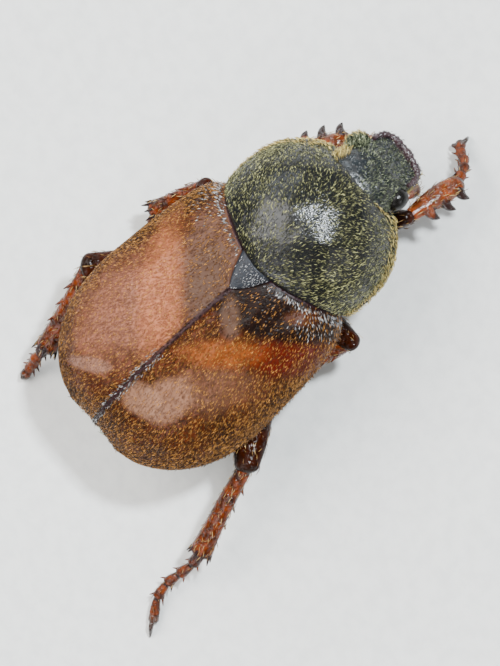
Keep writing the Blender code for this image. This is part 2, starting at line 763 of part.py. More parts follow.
def antenna(side):
    """One feeler with a thick scape, a beaded stalk and a three-bladed club."""
    stalk = [(0.56, 3.70, 2.14), (0.69, 3.78, 2.04), (0.73, 3.84, 1.88), (0.71, 3.87, 1.72)]
    stalk = turned(np.array(stalk) * (side, 1, 1))
    fine = smooth(stalk, 12)
    sizes = 0.15 + 0.025 * np.abs(np.sin(np.linspace(0, 5 * math.pi, 12)))
    sizes[0] = 0.12
    club_start, club_end = fine[-1], turned((side * 0.56, 3.88, 1.36))
    along = unit(club_end - club_start)
    aside, _ = axes_along(along, (0, 1, 0))
    pieces = [sweep(fine, sizes, sides=8)]
    for blade in (-1, 0, 1):
        start = club_start + aside * blade * 0.06
        end = club_end + aside * blade * 0.13
        pieces.append(limb(start, end, (0.10, 0.16, 0.13), toward=aside, flat=1.5, sides=7))
    return fused(pieces)


def mouthparts():
    """The lips and jaws below the clypeus, with two pairs of palps."""
    pieces = [
        ball(turned((0, 3.66, 1.72)), (0.44, 0.30, 0.32)),
        ball(turned((0, 3.86, 1.84)), (0.34, 0.20, 0.20)),
    ]
    for side in (-1, 1):
        long_palp = [(0.20, 3.76, 1.62), (0.26, 3.98, 1.46), (0.26, 4.12, 1.28), (0.20, 4.16, 1.10)]
        short_palp = [(0.12, 3.66, 1.52), (0.16, 3.74, 1.34), (0.14, 3.80, 1.20)]
        for path, half in ((long_palp, 0.11), (short_palp, 0.085)):
            line = smooth(turned(np.array(path) * (side, 1, 1)), 6)
            sizes = half * (1 + 0.18 * np.abs(np.cos(np.linspace(0, 3 * math.pi, 6))))
            sizes[-1] = half * 0.6
            pieces.append(sweep(line, sizes, sides=6))
    return carved(fused(pieces), [tube(head_rings(FINE_GAP))])


def material(name, color, roughness, coat=0.0):
    """A plain material of one colour."""
    made = bpy.data.materials.new(name)
    made.use_nodes = True
    shader = made.node_tree.nodes["Principled BSDF"]
    shader.inputs["Base Color"].default_value = (*color, 1)
    shader.inputs["Roughness"].default_value = roughness
    shader.inputs["Coat Weight"].default_value = coat
    return made


def finish(name, mesh, collection, look):
    """Adds one node in metres, with its own material."""
    bm = bmesh.new()
    bm.from_mesh(mesh)
    bmesh.ops.translate(bm, vec=SHIFT, verts=bm.verts)
    bmesh.ops.scale(bm, vec=(MM, MM, MM), verts=bm.verts)
    for face in bm.faces:
        face.smooth = True
    bm.to_mesh(mesh)
    bm.free()
    mesh.name = name
    mesh.materials.clear()
    mesh.materials.append(material(f"{name}_finish", *look))
    node = bpy.data.objects.new(name, mesh)
    collection.objects.link(node)
    return node


def clear_scene():
    """Removes every object of the startup scene."""
    for item in list(bpy.data.objects):
        bpy.data.objects.remove(item)


def build():
    """Builds every node of the beetle."""
    clear_scene()
    beetle = bpy.data.collections.new("welsh_chafer")
    bpy.context.scene.collection.children.link(beetle)
    rooms = [room for leg in LEGS.values() for room in leg_room(leg)]
    front_rooms = [r for n in ("front_right", "front_left") for r in leg_room(LEGS[n])]
    shell = (SHELL_BROWN, 0.35, 0.3)
    shield = (SHIELD_BLACK, 0.45, 0.2)
    belly = (UNDER_GREY, 0.6, 0.0)
    shiny_leg = (LEG_RED, 0.3, 0.3)
    dark = (LEG_DARK, 0.3, 0.3)

    cover = wing_cover()
    finish("elytron_left", mirrored(cover), beetle, shell)
    finish("elytron_right", cover, beetle, shell)
    finish("scutellum", scutellum(), beetle, shield)
    head_room = tube(head_rings(GAP))
    prothorax = trunk(PROTHORAX_ROWS, 14, PRONOTUM_POWER)
    finish("prothorax", carved(prothorax, [head_room, *front_rooms]), beetle, shield)
    thorax = carved(trunk(THORAX_ROWS, 7), [cover_cutter(), *rooms])
    finish("thorax", thorax, beetle, belly)
    finish("abdomen", carved(abdomen(), [cover_cutter(), *rooms]), beetle, belly)
    pygidium = carved(trunk(PYGIDIUM_ROWS, 6), [cover_cutter()])
    finish("pygidium", pygidium, beetle, belly)

    finish("head", head(), beetle, shield)
    finish("mouthparts", mouthparts(), beetle, dark)
    for name, side in (("left", -1), ("right", 1)):
        finish(f"eye_{name}", eye_node(side), beetle, (EYE_BLACK, 0.2, 0.5))
        finish(f"antenna_{name}", antenna(side), beetle, shiny_leg)

    for name, leg in LEGS.items():
        for part, mesh in leg_parts(leg).items():
            look = dark if part in ("claws", "coxa") else shiny_leg
            finish(f"leg_{name}_{part}", mesh, beetle, look)


build()
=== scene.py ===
"""Welsh chafer: the whole beetle at life size, with its skin, scales, hairs and materials.

Lengths in this file are in millimetres on the beetle's own axes: x to its right,
y towards its head, z up from the floor, with the tip of the scutellum at x = 0
and y = 0. to_frame turns them into metres in the frame.
"""

import logging
import math
from collections.abc import Callable, Sequence
from dataclasses import dataclass, field, replace
from enum import Enum
from functools import cache

import bpy
import numpy as np
from mathutils import Matrix, Vector


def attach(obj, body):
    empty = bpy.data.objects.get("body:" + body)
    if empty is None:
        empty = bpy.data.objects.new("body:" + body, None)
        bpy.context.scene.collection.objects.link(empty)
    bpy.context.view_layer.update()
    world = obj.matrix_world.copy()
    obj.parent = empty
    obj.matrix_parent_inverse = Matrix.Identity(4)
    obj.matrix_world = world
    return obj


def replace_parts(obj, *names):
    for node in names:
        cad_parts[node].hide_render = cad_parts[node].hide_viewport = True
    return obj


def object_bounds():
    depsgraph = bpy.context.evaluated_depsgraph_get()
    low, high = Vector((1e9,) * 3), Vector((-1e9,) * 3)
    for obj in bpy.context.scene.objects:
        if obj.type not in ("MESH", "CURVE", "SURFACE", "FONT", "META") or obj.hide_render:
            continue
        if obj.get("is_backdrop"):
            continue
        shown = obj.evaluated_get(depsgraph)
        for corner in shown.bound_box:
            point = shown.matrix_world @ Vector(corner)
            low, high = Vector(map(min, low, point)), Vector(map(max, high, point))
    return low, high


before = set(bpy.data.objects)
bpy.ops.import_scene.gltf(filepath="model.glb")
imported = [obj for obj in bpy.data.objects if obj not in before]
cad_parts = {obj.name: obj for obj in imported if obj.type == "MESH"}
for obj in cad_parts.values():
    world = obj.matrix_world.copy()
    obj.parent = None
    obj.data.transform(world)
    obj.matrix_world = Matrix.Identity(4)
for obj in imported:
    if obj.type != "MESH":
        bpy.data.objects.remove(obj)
CAD_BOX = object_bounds()

LOG = logging.getLogger("welsh_chafer")

Array = np.ndarray
Color = tuple[float, float, float]
Point = tuple[float, float, float]
Material = bpy.types.Material
Piece = bpy.types.Object
Socket = bpy.types.NodeSocket
Tree = bpy.types.NodeTree
Input = float | tuple | Socket
Density = Callable[[Array, Array, Array], Array]

MM = 0.001
AXES_SHIFT = (-0.48, 1.04, 0.0)
BASE_BEND = 1.4
BAKE_MAP = "OFBake"
MAP_MARGIN = 0.02
TUFT_PATCH = 0.003
ROOT_DEPTH = 0.008
RIDGE_COUNT = 6


class Side(Enum):
    """A side of the body, with the sign of its x."""

    LEFT = -1
    RIGHT = 1

    @property
    def word(self) -> str:
        """The side's name in piece and node names."""
        return self.name.lower()


class Pair(Enum):
    """Which pair of legs a leg belongs to."""

    FRONT = "front"
    MIDDLE = "middle"
    HIND = "hind"


def to_frame(points: Array) -> Array:
    """Turns points on the beetle's own axes into metres in the frame."""
    return (np.asarray(points, float) + np.array(AXES_SHIFT)) * MM


def smooth(rows: Sequence, count: int) -> Array:
    """Draws a smooth curve through rows of numbers.

    Args:
        rows: the rows to pass through, of equal length.
        count: how many rows to give back, in equal steps.

    Returns:
        The rows along the curve.
    """
    rows = np.asarray(rows, float)
    ends = np.vstack([2 * rows[0] - rows[1], rows, 2 * rows[-1] - rows[-2]])
    places = np.linspace(0, len(rows) - 1, count)
    span = np.minimum(places.astype(int), len(rows) - 2)
    t = (places - span)[:, None]
    a, b, c, d = (ends[span + k] for k in range(4))
    curve = 2 * b + (c - a) * t + (2 * a - 5 * b + 4 * c - d) * t**2
    return 0.5 * (curve + (3 * b - a - 3 * c + d) * t**3)


def unit(vectors: Array | Sequence) -> Array:
    """The vectors made one long."""
    vectors = np.asarray(vectors, float)
    length = np.linalg.norm(vectors, axis=-1, keepdims=True)
    return vectors / np.maximum(length, 1e-12)


def bump(value: Array | float, middle: float, width: float) -> Array:
    """A bell curve of height one."""
    return np.exp(-(((value - middle) / width) ** 2))


def ramp(value: Array | float, start: float, width: float) -> Array:
    """Rises from 0 at start to 1 a width further on."""
    return np.clip((value - start) / width, 0, 1)


def turned(first: Array, second: Array, angles: Array) -> tuple[Array, Array]:
    """Turns pairs of axes, each by its own angle in radians."""
    cosine, sine = np.cos(angles)[:, None], np.sin(angles)[:, None]
    return first * cosine + second * sine, second * cosine - first * sine


@dataclass
class Skin:
    """A grid of skin points whose rows run along the part.

    Args:
        points: grid of points, rows by columns by three.
        closed: whether the columns run round and meet.
        core: a point inside the part, which the outside faces away from.
        cell: place of this skin's unwrap in a square of cells, and their number a side.
    """

    points: Array
    closed: bool = False
    core: Sequence | None = None
    cell: tuple[int, int, int] = (0, 0, 1)
    normals: Array = field(init=False)
    along: Array = field(init=False)
    across: Array = field(init=False)

    def __post_init__(self) -> None:
        """Works out the directions over the grid."""
        points = self.points
        self.along = np.gradient(points, axis=0)
        self.across = np.gradient(points, axis=1)
        if self.closed:
            self.across = (np.roll(points, -1, axis=1) - np.roll(points, 1, axis=1)) / 2
        self.normals = unit(np.cross(self.across, self.along))
        inside = points.mean(axis=1, keepdims=True) if self.core is None else np.array(self.core)
        if (self.normals * (points - inside)).sum() < 0:
            self.normals = -self.normals

    def at(self, grid: Array, u: Array, v: Array) -> Array:
        """Reads a grid between its points.

        Args:
            grid: values on the skin's grid.
            u: shares along the rows, from 0 to 1.
            v: shares across the columns, from 0 to 1.

        Returns:
            The values at these places.
        """
        rows, columns = grid.shape[:2]
        last = columns if self.closed else columns - 1
        i, j = u * (rows - 1), v * last
        low_i = np.minimum(i.astype(int), rows - 2)
        low_j = np.minimum(j.astype(int), last - 1)
        high_j = (low_j + 1) % columns
        a, b = (i - low_i)[:, None], (j - low_j)[:, None]
        near = grid[low_i, low_j] * (1 - b) + grid[low_i, high_j] * b
        far = grid[low_i + 1, low_j] * (1 - b) + grid[low_i + 1, high_j] * b
        return near * (1 - a) + far * a

    def unwrap(self, u: Array, v: Array) -> Array:
        """Places on the bake map, within this skin's own cell."""
        column, row, count = self.cell
        flat = np.stack([v, u], axis=1) * (1 - 2 * MAP_MARGIN) + MAP_MARGIN
        return (flat + (column, row)) / count


def store(mesh: bpy.types.Mesh, name: str, values: Array) -> None:
    """Stores a value for each point of a mesh."""
    layer = mesh.attributes.new(name, "FLOAT", "POINT")
    layer.data.foreach_set("value", np.asarray(values, np.float32))


def add_piece(mesh: bpy.types.Mesh, finish: str) -> Piece:
    """Makes a piece of a mesh.

    Args:
        mesh: the mesh, which has the piece's name.
        finish: the name of its finish.

    Returns:
        The new object, riding on the root body.
    """
    mesh.materials.append(material(finish))
    piece = bpy.data.objects.new(mesh.name, mesh)
    bpy.context.scene.collection.objects.link(piece)
    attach(piece, "root")
    LOG.info("piece %s: %d faces", mesh.name, len(mesh.polygons))
    return piece


class Builder:
    """Gathers grids of points into one mesh, with marks on its points."""

    def __init__(self, *marks: str) -> None:
        """Starts a mesh.

        Args:
            *marks: names of its marks, or nothing for the one mark dark.
        """
        self.names = marks or ("dark",)
        self.points: list[Array] = []
        self.values: list[Array] = []
        self.faces: list[list[int]] = []

    def add(self, points: Array, values: Array) -> Array:
        """Adds points with the values of their marks and gives their numbers."""
        first = sum(len(part) for part in self.points)
        self.points.append(points)
        self.values.append(values)
        return first + np.arange(len(points))

    def grid(self, points: Array, dark: float | Array = 0.0) -> "Builder":
        """Adds a closed form whose columns meet, with a fan on each end.

        Args:
            points: rows by columns by three.
            dark: how dark it is, or how dark each row is.

        Returns:
            This builder.
        """
        rows, columns = points.shape[:2]
        shades = np.broadcast_to(np.reshape(dark, (-1, 1)), (rows, columns))
        numbers = self.add(points.reshape(-1, 3), shades.reshape(-1, 1)).reshape(rows, columns)
        after = np.roll(numbers, -1, axis=1)
        quads = np.stack([numbers[:-1], after[:-1], after[1:], numbers[1:]], axis=2)
        self.faces += quads.reshape(-1, 4).tolist()
        for row, order in ((0, (1, 0, 2)), (-1, (0, 1, 2))):
            middle = self.add(points[row].mean(axis=0)[None], shades[row, :1, None])
            fan = np.stack([numbers[row], after[row], np.repeat(middle, columns)], axis=1)
            self.faces += fan[:, order].tolist()
        return self

    def plate(self, outer: Array, inner: Array, roundness: float, marks: Array | None = None) -> "Builder":
        """Adds a closed plate with a rounded border between two matching grids.

        Args:
            outer: the outer grid.
            inner: the inner grid.
            roundness: how far the border bulges, as a share of the thickness.
            marks: grid of the values of the marks.

        Returns:
            This builder.
        """
        rows, columns = outer.shape[:2]
        flat = np.zeros((rows * columns, 1)) if marks is None else marks.reshape(rows * columns, -1)
        sheets = [self.add(sheet.reshape(-1, 3), flat) for sheet in (outer, inner)]
        for sheet, order in zip(sheets, ((0, 1, 2, 3), (0, 3, 2, 1))):
            at = sheet.reshape(rows, columns)
            quads = np.stack([at[:-1, :-1], at[:-1, 1:], at[1:, 1:], at[1:, :-1]], axis=2)
            self.faces += quads.reshape(-1, 4)[:, order].tolist()
        at = np.arange(rows * columns).reshape(rows, columns)
        border = np.concatenate([at[0], at[1:, -1], at[-1, -2::-1], at[-2:0:-1, 0]])
        i, j = np.divmod(border, columns)
        edge, under = outer[i, j], inner[i, j]
        away = unit(edge - outer[np.clip(i, 1, rows - 2), np.clip(j, 1, columns - 2)])
        bulge = away * np.linalg.norm(under - edge, axis=1, keepdims=True) * roundness
        loops = [sheets[0][border]]
        for turn in (0.25, 0.5, 0.75):
            ring = edge + (under - edge) * turn + bulge * math.sin(math.pi * turn)
            loops.append(self.add(ring, flat[border]))
        loops.append(sheets[1][border])
        for upper, lower in zip(loops, loops[1:]):
            quads = np.stack([np.roll(upper, -1), upper, lower, np.roll(lower, -1)], axis=1)
            self.faces += quads.tolist()
        return self

    def build(self, name: str, finish: str, slot: str, node: str, sharp: float = 60) -> None:
        """Makes the piece, which stands for its CAD node.

        Args:
            name: the piece's name.
            finish: the name of its finish.
            slot: the record's material slot; not used.
            node: the node that it replaces.
            sharp: edges bent by more than this many degrees stay sharp.
        """
        mesh = bpy.data.meshes.new(name)
        mesh.from_pydata(to_frame(np.concatenate(self.points)).tolist(), [], self.faces)
        for mark, values in zip(self.names, np.concatenate(self.values).T):
            store(mesh, mark, values)
        mesh.polygons.foreach_set("use_smooth", np.ones(len(mesh.polygons), bool))
        mesh.validate()
        mesh.update()
        mesh.set_sharp_from_angle(angle=math.radians(sharp))
        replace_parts(add_piece(mesh, finish), node)


@dataclass(frozen=True)
class Cloud:
    """A soft oval of another tone on the wing covers: most are painted reflections, pale sheens of the sky
    and one near-black reflection of dark surroundings, and a few are real colour patches.

    Args:
        tone: its colour.
        share: how much of its colour shows.
        middle: its middle, in millimetres.
        halves: its half length and half width, in millimetres.
        turn: turn of its length from the x axis, in degrees.
        side: the cover that it lies on.
        soft: half width of its soft border, against its size.
        bare: share of the scales that are left out on it.
    """

    tone: Color
    share: float
    middle: tuple[float, float]
    halves: tuple[float, float]
    turn: float
    side: Side
    soft: float = 0.3
    bare: float = 0.4

    def cover(self, points: Array) -> Array:
        """How far each point lies on the cloud, from 0 to 1."""
        x, y = points[:, 0] - self.middle[0], points[:, 1] - self.middle[1]
        sine, cosine = math.sin(math.radians(self.turn)), math.cos(math.radians(self.turn))
        along, aside = (x * cosine + y * sine) / self.halves[0], (y * cosine - x * sine) / self.halves[1]
        reach = np.hypot(along, aside)
        inside = np.clip((1 + self.soft - reach) / (2 * self.soft), 0, 1)
        return inside * (points[:, 0] * self.side.value > 0)


FLAT_CLOUD = 1000.0
# Patches of tone on the wing covers. Most rows paint a reflection, and the comment above each row says what
# it paints.
TINT_AND_REFLECTION_CLOUDS = (
    # Painted reflection: pale pink sky sheen over the middle and rear of the left cover.
    Cloud((0.29, 0.115, 0.070), 0.62, (-1.20, -2.05), (0.90, 1.45), 0, Side.LEFT, 0.5, 0.25),
    # Real orange band of the left cover, painted paler and pinker to carry part of the sky sheen.
    Cloud((0.34, 0.110, 0.046), 0.70, (-0.98, -1.15), (1.45, 0.50), -46, Side.LEFT, 0.4, 0.25),
    # Painted reflection: grey-mauve tint of the sky sheen over the front of the left cover.
    Cloud((0.080, 0.036, 0.021), 0.85, (0.26, 0.95), (2.0, 2.0), 0, Side.LEFT, 0.13, 0.45),
    # Painted reflection: greyer tint of the sky sheen beside the seam.
    Cloud((0.050, 0.026, 0.015), 0.60, (-0.45, -0.30), (0.80, 0.42), -55, Side.LEFT, 0.5, 0.85),
    # Painted reflection: pale pink sky sheen on the rear of the left cover.
    Cloud((0.24, 0.120, 0.080), 0.75, (-0.88, -3.50), (0.52, 0.17), 40, Side.LEFT, 0.3, 0.6),
    # Darker red-brown patch near the left apex.
    Cloud((0.05, 0.010, 0.004), 0.85, (-0.62, -3.86), (0.65, 0.15), 36, Side.LEFT, 0.4, 0.2),
    # Painted reflection: pale pinkish-brown sky sheen in the middle of the right cover.
    Cloud((0.17, 0.075, 0.042), 0.55, (1.30, -1.80), (0.95, 0.48), 55, Side.RIGHT, 0.5, 0.2),
    # Real deep red patch on the outer side of the right cover.
    Cloud((0.070, 0.005, 0.001), 0.93, (1.95, -0.06), (0.95, 0.42), 48, Side.RIGHT, 0.35, 0.62),
    # Real orange patch on the right cover.
    Cloud((0.20, 0.050, 0.008), 0.80, (0.90, -1.08), (0.80, 0.30), 48, Side.RIGHT, 0.5, 0.4),
    # Painted shade: near-black painted reflection of dark surroundings beside the scutellum.
    Cloud((0.0030, 0.0012, 0.0008), 0.98, (1.10, 0.60), (1.65, 0.74), 38, Side.RIGHT, 0.16, 0.68),
    # Small dark red-brown patch on the right shoulder.
    Cloud((0.07, 0.018, 0.004), 0.65, (1.48, 0.72), (0.32, 0.16), 48, Side.RIGHT, 0.5, 0.4),
    # Painted reflection: small pale spot near the seam.
    Cloud((0.070, 0.036, 0.022), 0.80, (0.50, -0.43), (0.44, 0.20), -41, Side.RIGHT, 0.4, 0.9),
    # Painted reflection: pale pink disc of sky sheen on the rear of the right cover.
    Cloud((0.20, 0.095, 0.055), 0.80, (0.86, -2.64), (0.62, 0.44), 80, Side.RIGHT, 0.22, 0.6),
    # Painted reflection: pale pink sky sheen on the rear of the right cover, near the seam.
    Cloud((0.22, 0.110, 0.066), 0.75, (0.48, -3.08), (0.50, 0.36), 30, Side.RIGHT, 0.22, 0.6),
)


class Graph:
    """Adds nodes to a node tree in short calls."""

    def __init__(self, tree: Tree) -> None:
        """Works on this tree."""
        self.tree = tree

    def put(self, socket: Socket, value: Input) -> None:
        """Links an output to an input, or sets the input to a plain value."""
        if isinstance(value, Socket):
            self.tree.links.new(value, socket)
        elif isinstance(value, tuple) and socket.type == "RGBA":
            socket.default_value = (*value, 1.0)
        else:
            socket.default_value = value

    def add(self, kind: str, settings: dict | None = None, **inputs: Input) -> bpy.types.Node:
        """Adds one node.

        Args:
            kind: Blender's name of the node type, without ShaderNode.
            settings: the node's own settings.
            **inputs: its inputs by name, with _ for a space, or in0, in1 by number.

        Returns:
            The node.
        """
        made = self.tree.nodes.new(f"ShaderNode{kind}")
        for name, value in (settings or {}).items():
            setattr(made, name, value)
        for name, value in inputs.items():
            key = int(name[2:]) if name[2:].isdigit() else name.replace("_", " ")
            self.put(made.inputs[key], value)
        return made

    def math(self, operation: str, first: Input, second: Input) -> Socket:
        """The result of one sum."""
        return self.add("Math", {"operation": operation}, in0=first, in1=second).outputs[0]

    def vector(self, operation: str, first: Input, second: tuple) -> Socket:
        """The result of one sum of vectors."""
        return self.add("VectorMath", {"operation": operation}, in0=first, in1=second).outputs[0]

    def mix(self, share: Input, first: Input, second: Input, blend: str = "MIX") -> Socket:
        """Two colours mixed, with this share of the second."""
        settings = {"data_type": "RGBA", "blend_type": blend}
        return self.add("Mix", settings, in0=share, in6=first, in7=second).outputs[2]

    def band(self, value: Input, low: float, high: float, top: float = 1.0) -> Socket:
        """A smooth step from 0 at low to top at high."""
        settings = {"interpolation_type": "SMOOTHSTEP"}
        made = self.add("MapRange", settings, Value=value, From_Min=low, From_Max=high, To_Max=top)
        return made.outputs[0]

    def mark(self, name: str) -> Socket:
        """A value stored on the mesh's points."""
        return self.add("Attribute", {"attribute_name": name}).outputs["Fac"]

    def millimetres(self) -> Socket:
        """The place on the beetle's own axes, in millimetres."""
        where = self.add("TexCoord").outputs["Object"]
        return self.vector("SUBTRACT", self.vector("MULTIPLY", where, (1 / MM, 1 / MM, 1 / MM)), AXES_SHIFT)

    def noise(self, scale: Input, detail: float = 3.0, rough: float = 0.55) -> Socket:
        """Soft noise over the body, from 0 to 1.

        Args:
            scale: waves to the millimetre.
            detail: how many finer layers.
            rough: how strong the finer layers are.

        Returns:
            The noise.
        """
        where = self.millimetres()
        made = self.add("TexNoise", None, Vector=where, Scale=scale, Detail=detail, Roughness=rough)
        return made.outputs[0]


class Group(Graph):
    """A node group that several materials share."""

    def __init__(self, name: str, **inputs: float | Color) -> None:
        """Starts a group.

        Args:
            name: its name.
            **inputs: its inputs by name, with _ for a space: a number or a colour each.
        """
        super().__init__(bpy.data.node_groups.new(name, "ShaderNodeTree"))
        for label, value in inputs.items():
            self.open(label.replace("_", " "), "INPUT", isinstance(value, tuple))
        self.given = self.tree.nodes.new("NodeGroupInput").outputs

    def open(self, label: str, way: str, colour: bool) -> None:
        """Adds one named input or output."""
        kind = "NodeSocketColor" if colour else "NodeSocketFloat"
        self.tree.interface.new_socket(label, in_out=way, socket_type=kind)

    def close(self, **outputs: Socket) -> Tree:
        """Names the outputs, of which Color is a colour, and gives the finished group."""
        for label in outputs:
            self.open(label, "OUTPUT", label == "Color")
        end = self.tree.nodes.new("NodeGroupOutput")
        for label, socket in outputs.items():
            self.put(end.inputs[label], socket)
        return self.tree


@cache
def horn_grain() -> Tree:
    """Fine wrinkles and pits of horn skin, as a height, and flecks."""
    group = Group("horn_grain", Scale=12.0, Pit_Scale=16.0, Pits=0.6)
    where = group.millimetres()
    wrinkle = group.add("TexNoise", None, Vector=where, Scale=group.given["Scale"], Detail=4.0).outputs[0]
    pits = group.add("TexVoronoi", None, Vector=where, Scale=group.given["Pit Scale"])
    hollow = group.band(pits.outputs["Distance"], 0.0, 0.45)
    height = group.math("ADD", wrinkle, group.math("MULTIPLY", hollow, group.given["Pits"]))
    return group.close(Height=height, Fleck=group.band(wrinkle, 0.42, 0.66))


@cache
def colour_drift() -> Tree:
    """Slow drift between two tones over the body."""
    group = Group("colour_drift", Tone=(0.3, 0.1, 0.03), Second_Tone=(0.2, 0.06, 0.02), Scale=2.0)
    slow = group.band(group.noise(group.given["Scale"]), 0.32, 0.70)
    return group.close(Color=group.mix(slow, group.given["Tone"], group.given["Second Tone"]))


@cache
def joint_shade() -> Tree:
    """Darkens a colour where the mesh marks a joint, an edge or a point: mostly their real dark colour, and
    at the pronotum's end margins a painted shadow.
    """
    group = Group("joint_shade", Color=(0.3, 0.1, 0.03), Joint=(0.02, 0.008, 0.005))
    uneven = group.math("MULTIPLY", group.math("SUBTRACT", group.noise(9.0), 0.5), 0.5)
    mask = group.band(group.math("ADD", group.mark("dark"), uneven), 0.25, 0.85)
    return group.close(Color=group.mix(mask, group.given["Color"], group.given["Joint"]))


@cache
def cover_clouds(blend: str = "MIX") -> Tree:
    """Tints a colour with the wing covers' patches and their real dark seam; most patches are painted
    reflections, pale sky sheens and one near-black reflection, and a few are real colour.

    Args:
        blend: Blender's name of the blend that lays each cloud on.

    Returns:
        The group.
    """
    inputs = {"Color": (0.3, 0.1, 0.03), "Seam": (0.03, 0.01, 0.01), "Amount": 1.0}
    group = Group(f"cover_clouds_{blend.lower()}", **inputs)
    where, amount, color = group.millimetres(), group.given["Amount"], group.given["Color"]
    across = group.add("SeparateXYZ", None, Vector=where).outputs["X"]
    right = group.math("GREATER_THAN", across, 0.0)
    sides = {Side.RIGHT: right, Side.LEFT: group.math("SUBTRACT", 1.0, right)}
    uneven = group.math("SUBTRACT", group.noise(3.2, 5.0, 0.65), 0.5)
    # Each patch lays on its tone: a painted reflection for most, a real colour for a few.
    for cloud in TINT_AND_REFLECTION_CLOUDS:
        away = group.vector("SUBTRACT", where, (*cloud.middle, 0.0))
        angle = -math.radians(cloud.turn)
        lain = group.add("VectorRotate", {"rotation_type": "Z_AXIS"}, Vector=away, Angle=angle).outputs[0]
        scaled = group.vector("DIVIDE", lain, (*cloud.halves, FLAT_CLOUD))
        reach = group.add("VectorMath", {"operation": "LENGTH"}, in0=scaled).outputs["Value"]
        far = group.math("ADD", reach, group.math("MULTIPLY", uneven, 2.2 * cloud.soft))
        inside = group.band(far, 1 + cloud.soft, 1 - cloud.soft, cloud.share)
        inside = group.math("MULTIPLY", group.math("MULTIPLY", inside, sides[cloud.side]), amount)
        color = group.mix(inside, color, cloud.tone, blend)
    seam = group.band(group.math("ABSOLUTE", across, 0.0), 0.085, 0.025, 0.9)
    return group.close(Color=group.mix(group.math("MULTIPLY", seam, amount), color, group.given["Seam"]))


@cache
def tuft_tone() -> Tree:
    """The tone of a scale or hair: its own chance, and paler towards its tip."""
    group = Group("tuft_tone", Deep=(0.3, 0.2, 0.05), Pale=(0.6, 0.4, 0.15), Curve=2.0)
    chance = group.math("POWER", group.mark("tuft"), group.given["Curve"])
    mixed = group.mix(chance, group.given["Deep"], group.given["Pale"])
    root = group.mix(0.55, mixed, (0.0, 0.0, 0.0))
    return group.close(Color=group.mix(group.band(group.mark("along"), 0.0, 0.8), root, mixed))


class Dress(Graph):
    """Starts a material and places shared groups in it."""

    def __init__(self, name: str) -> None:
        """Makes a plain material of this name."""
        self.material = bpy.data.materials.new(name)
        self.material.use_nodes = True
        super().__init__(self.material.node_tree)
        self.shader = self.tree.nodes["Principled BSDF"]

    def group(self, tree: Tree, **inputs: Input) -> bpy.types.bpy_prop_collection:
        """Places a shared group with its own values and gives its outputs."""
        return self.add("Group", {"node_tree": tree}, **inputs).outputs

    def done(self, height: Socket | None = None, depth: float = 0.0, **inputs: Input) -> Material:
        """Feeds the shader.

        Args:
            height: the relief, from 0 to 1.
            depth: the millimetres that a height of 1 stands for.
            **inputs: the shader's inputs by name, with _ for a space.

        Returns:
            The finished material.
        """
        if height is not None:
            relief = self.add("Bump", None, Height=height, Distance=depth * MM, Strength=1.0)
            inputs["Normal"] = relief.outputs[0]
        for name, value in inputs.items():
            self.put(self.shader.inputs[name.replace("_", " ")], value)
        return self.material


@dataclass(frozen=True)
class HornFinish:
    """Glossy horn skin with grain, drifting colour and darker joints.

    Args:
        name: the material's name.
        tone: its main colour.
        second: the colour that it drifts to.
        joint: the colour of joints, edges and points.
        fleck: the colour of fine flecks.
        gloss: strength of the horn's own reflection.
        roughness: roughness of the horn.
        coat: strength of the clear outer layer.
        coat_roughness: roughness of the clear outer layer.
        grain: depth of the wrinkles in millimetres.
        scale: wrinkles to the millimetre.
        pit_scale: pits to the millimetre.
        pits: depth of the pits against the wrinkles.
        drift: waves of colour to the millimetre.
    """

    name: str
    tone: Color
    second: Color
    joint: Color = (0.012, 0.006, 0.004)
    fleck: Color = (0.012, 0.007, 0.005)
    gloss: float = 0.4
    roughness: float = 0.34
    coat: float = 0.35
    coat_roughness: float = 0.14
    grain: float = 0.010
    scale: float = 9.0
    pit_scale: float = 14.0
    pits: float = 0.5
    drift: float = 1.6

    def material(self) -> Material:
        """Builds the material."""
        dress = Dress(self.name)
        drift = dress.group(colour_drift(), Tone=self.tone, Second_Tone=self.second, Scale=self.drift)
        shade = dress.group(joint_shade(), Color=drift["Color"], Joint=self.joint)
        grain = dress.group(horn_grain(), Scale=self.scale, Pit_Scale=self.pit_scale, Pits=self.pits)
        flecks = dress.math("MULTIPLY", grain["Fleck"], 0.4)
        return dress.done(
            grain["Height"],
            self.grain,
            Base_Color=dress.mix(flecks, shade["Color"], self.fleck),
            Roughness=dress.math("ADD", dress.math("MULTIPLY", grain["Fleck"], 0.12), self.roughness),
            Specular_IOR_Level=self.gloss,
            Coat_Weight=self.coat,
            Coat_Roughness=self.coat_roughness,
        )


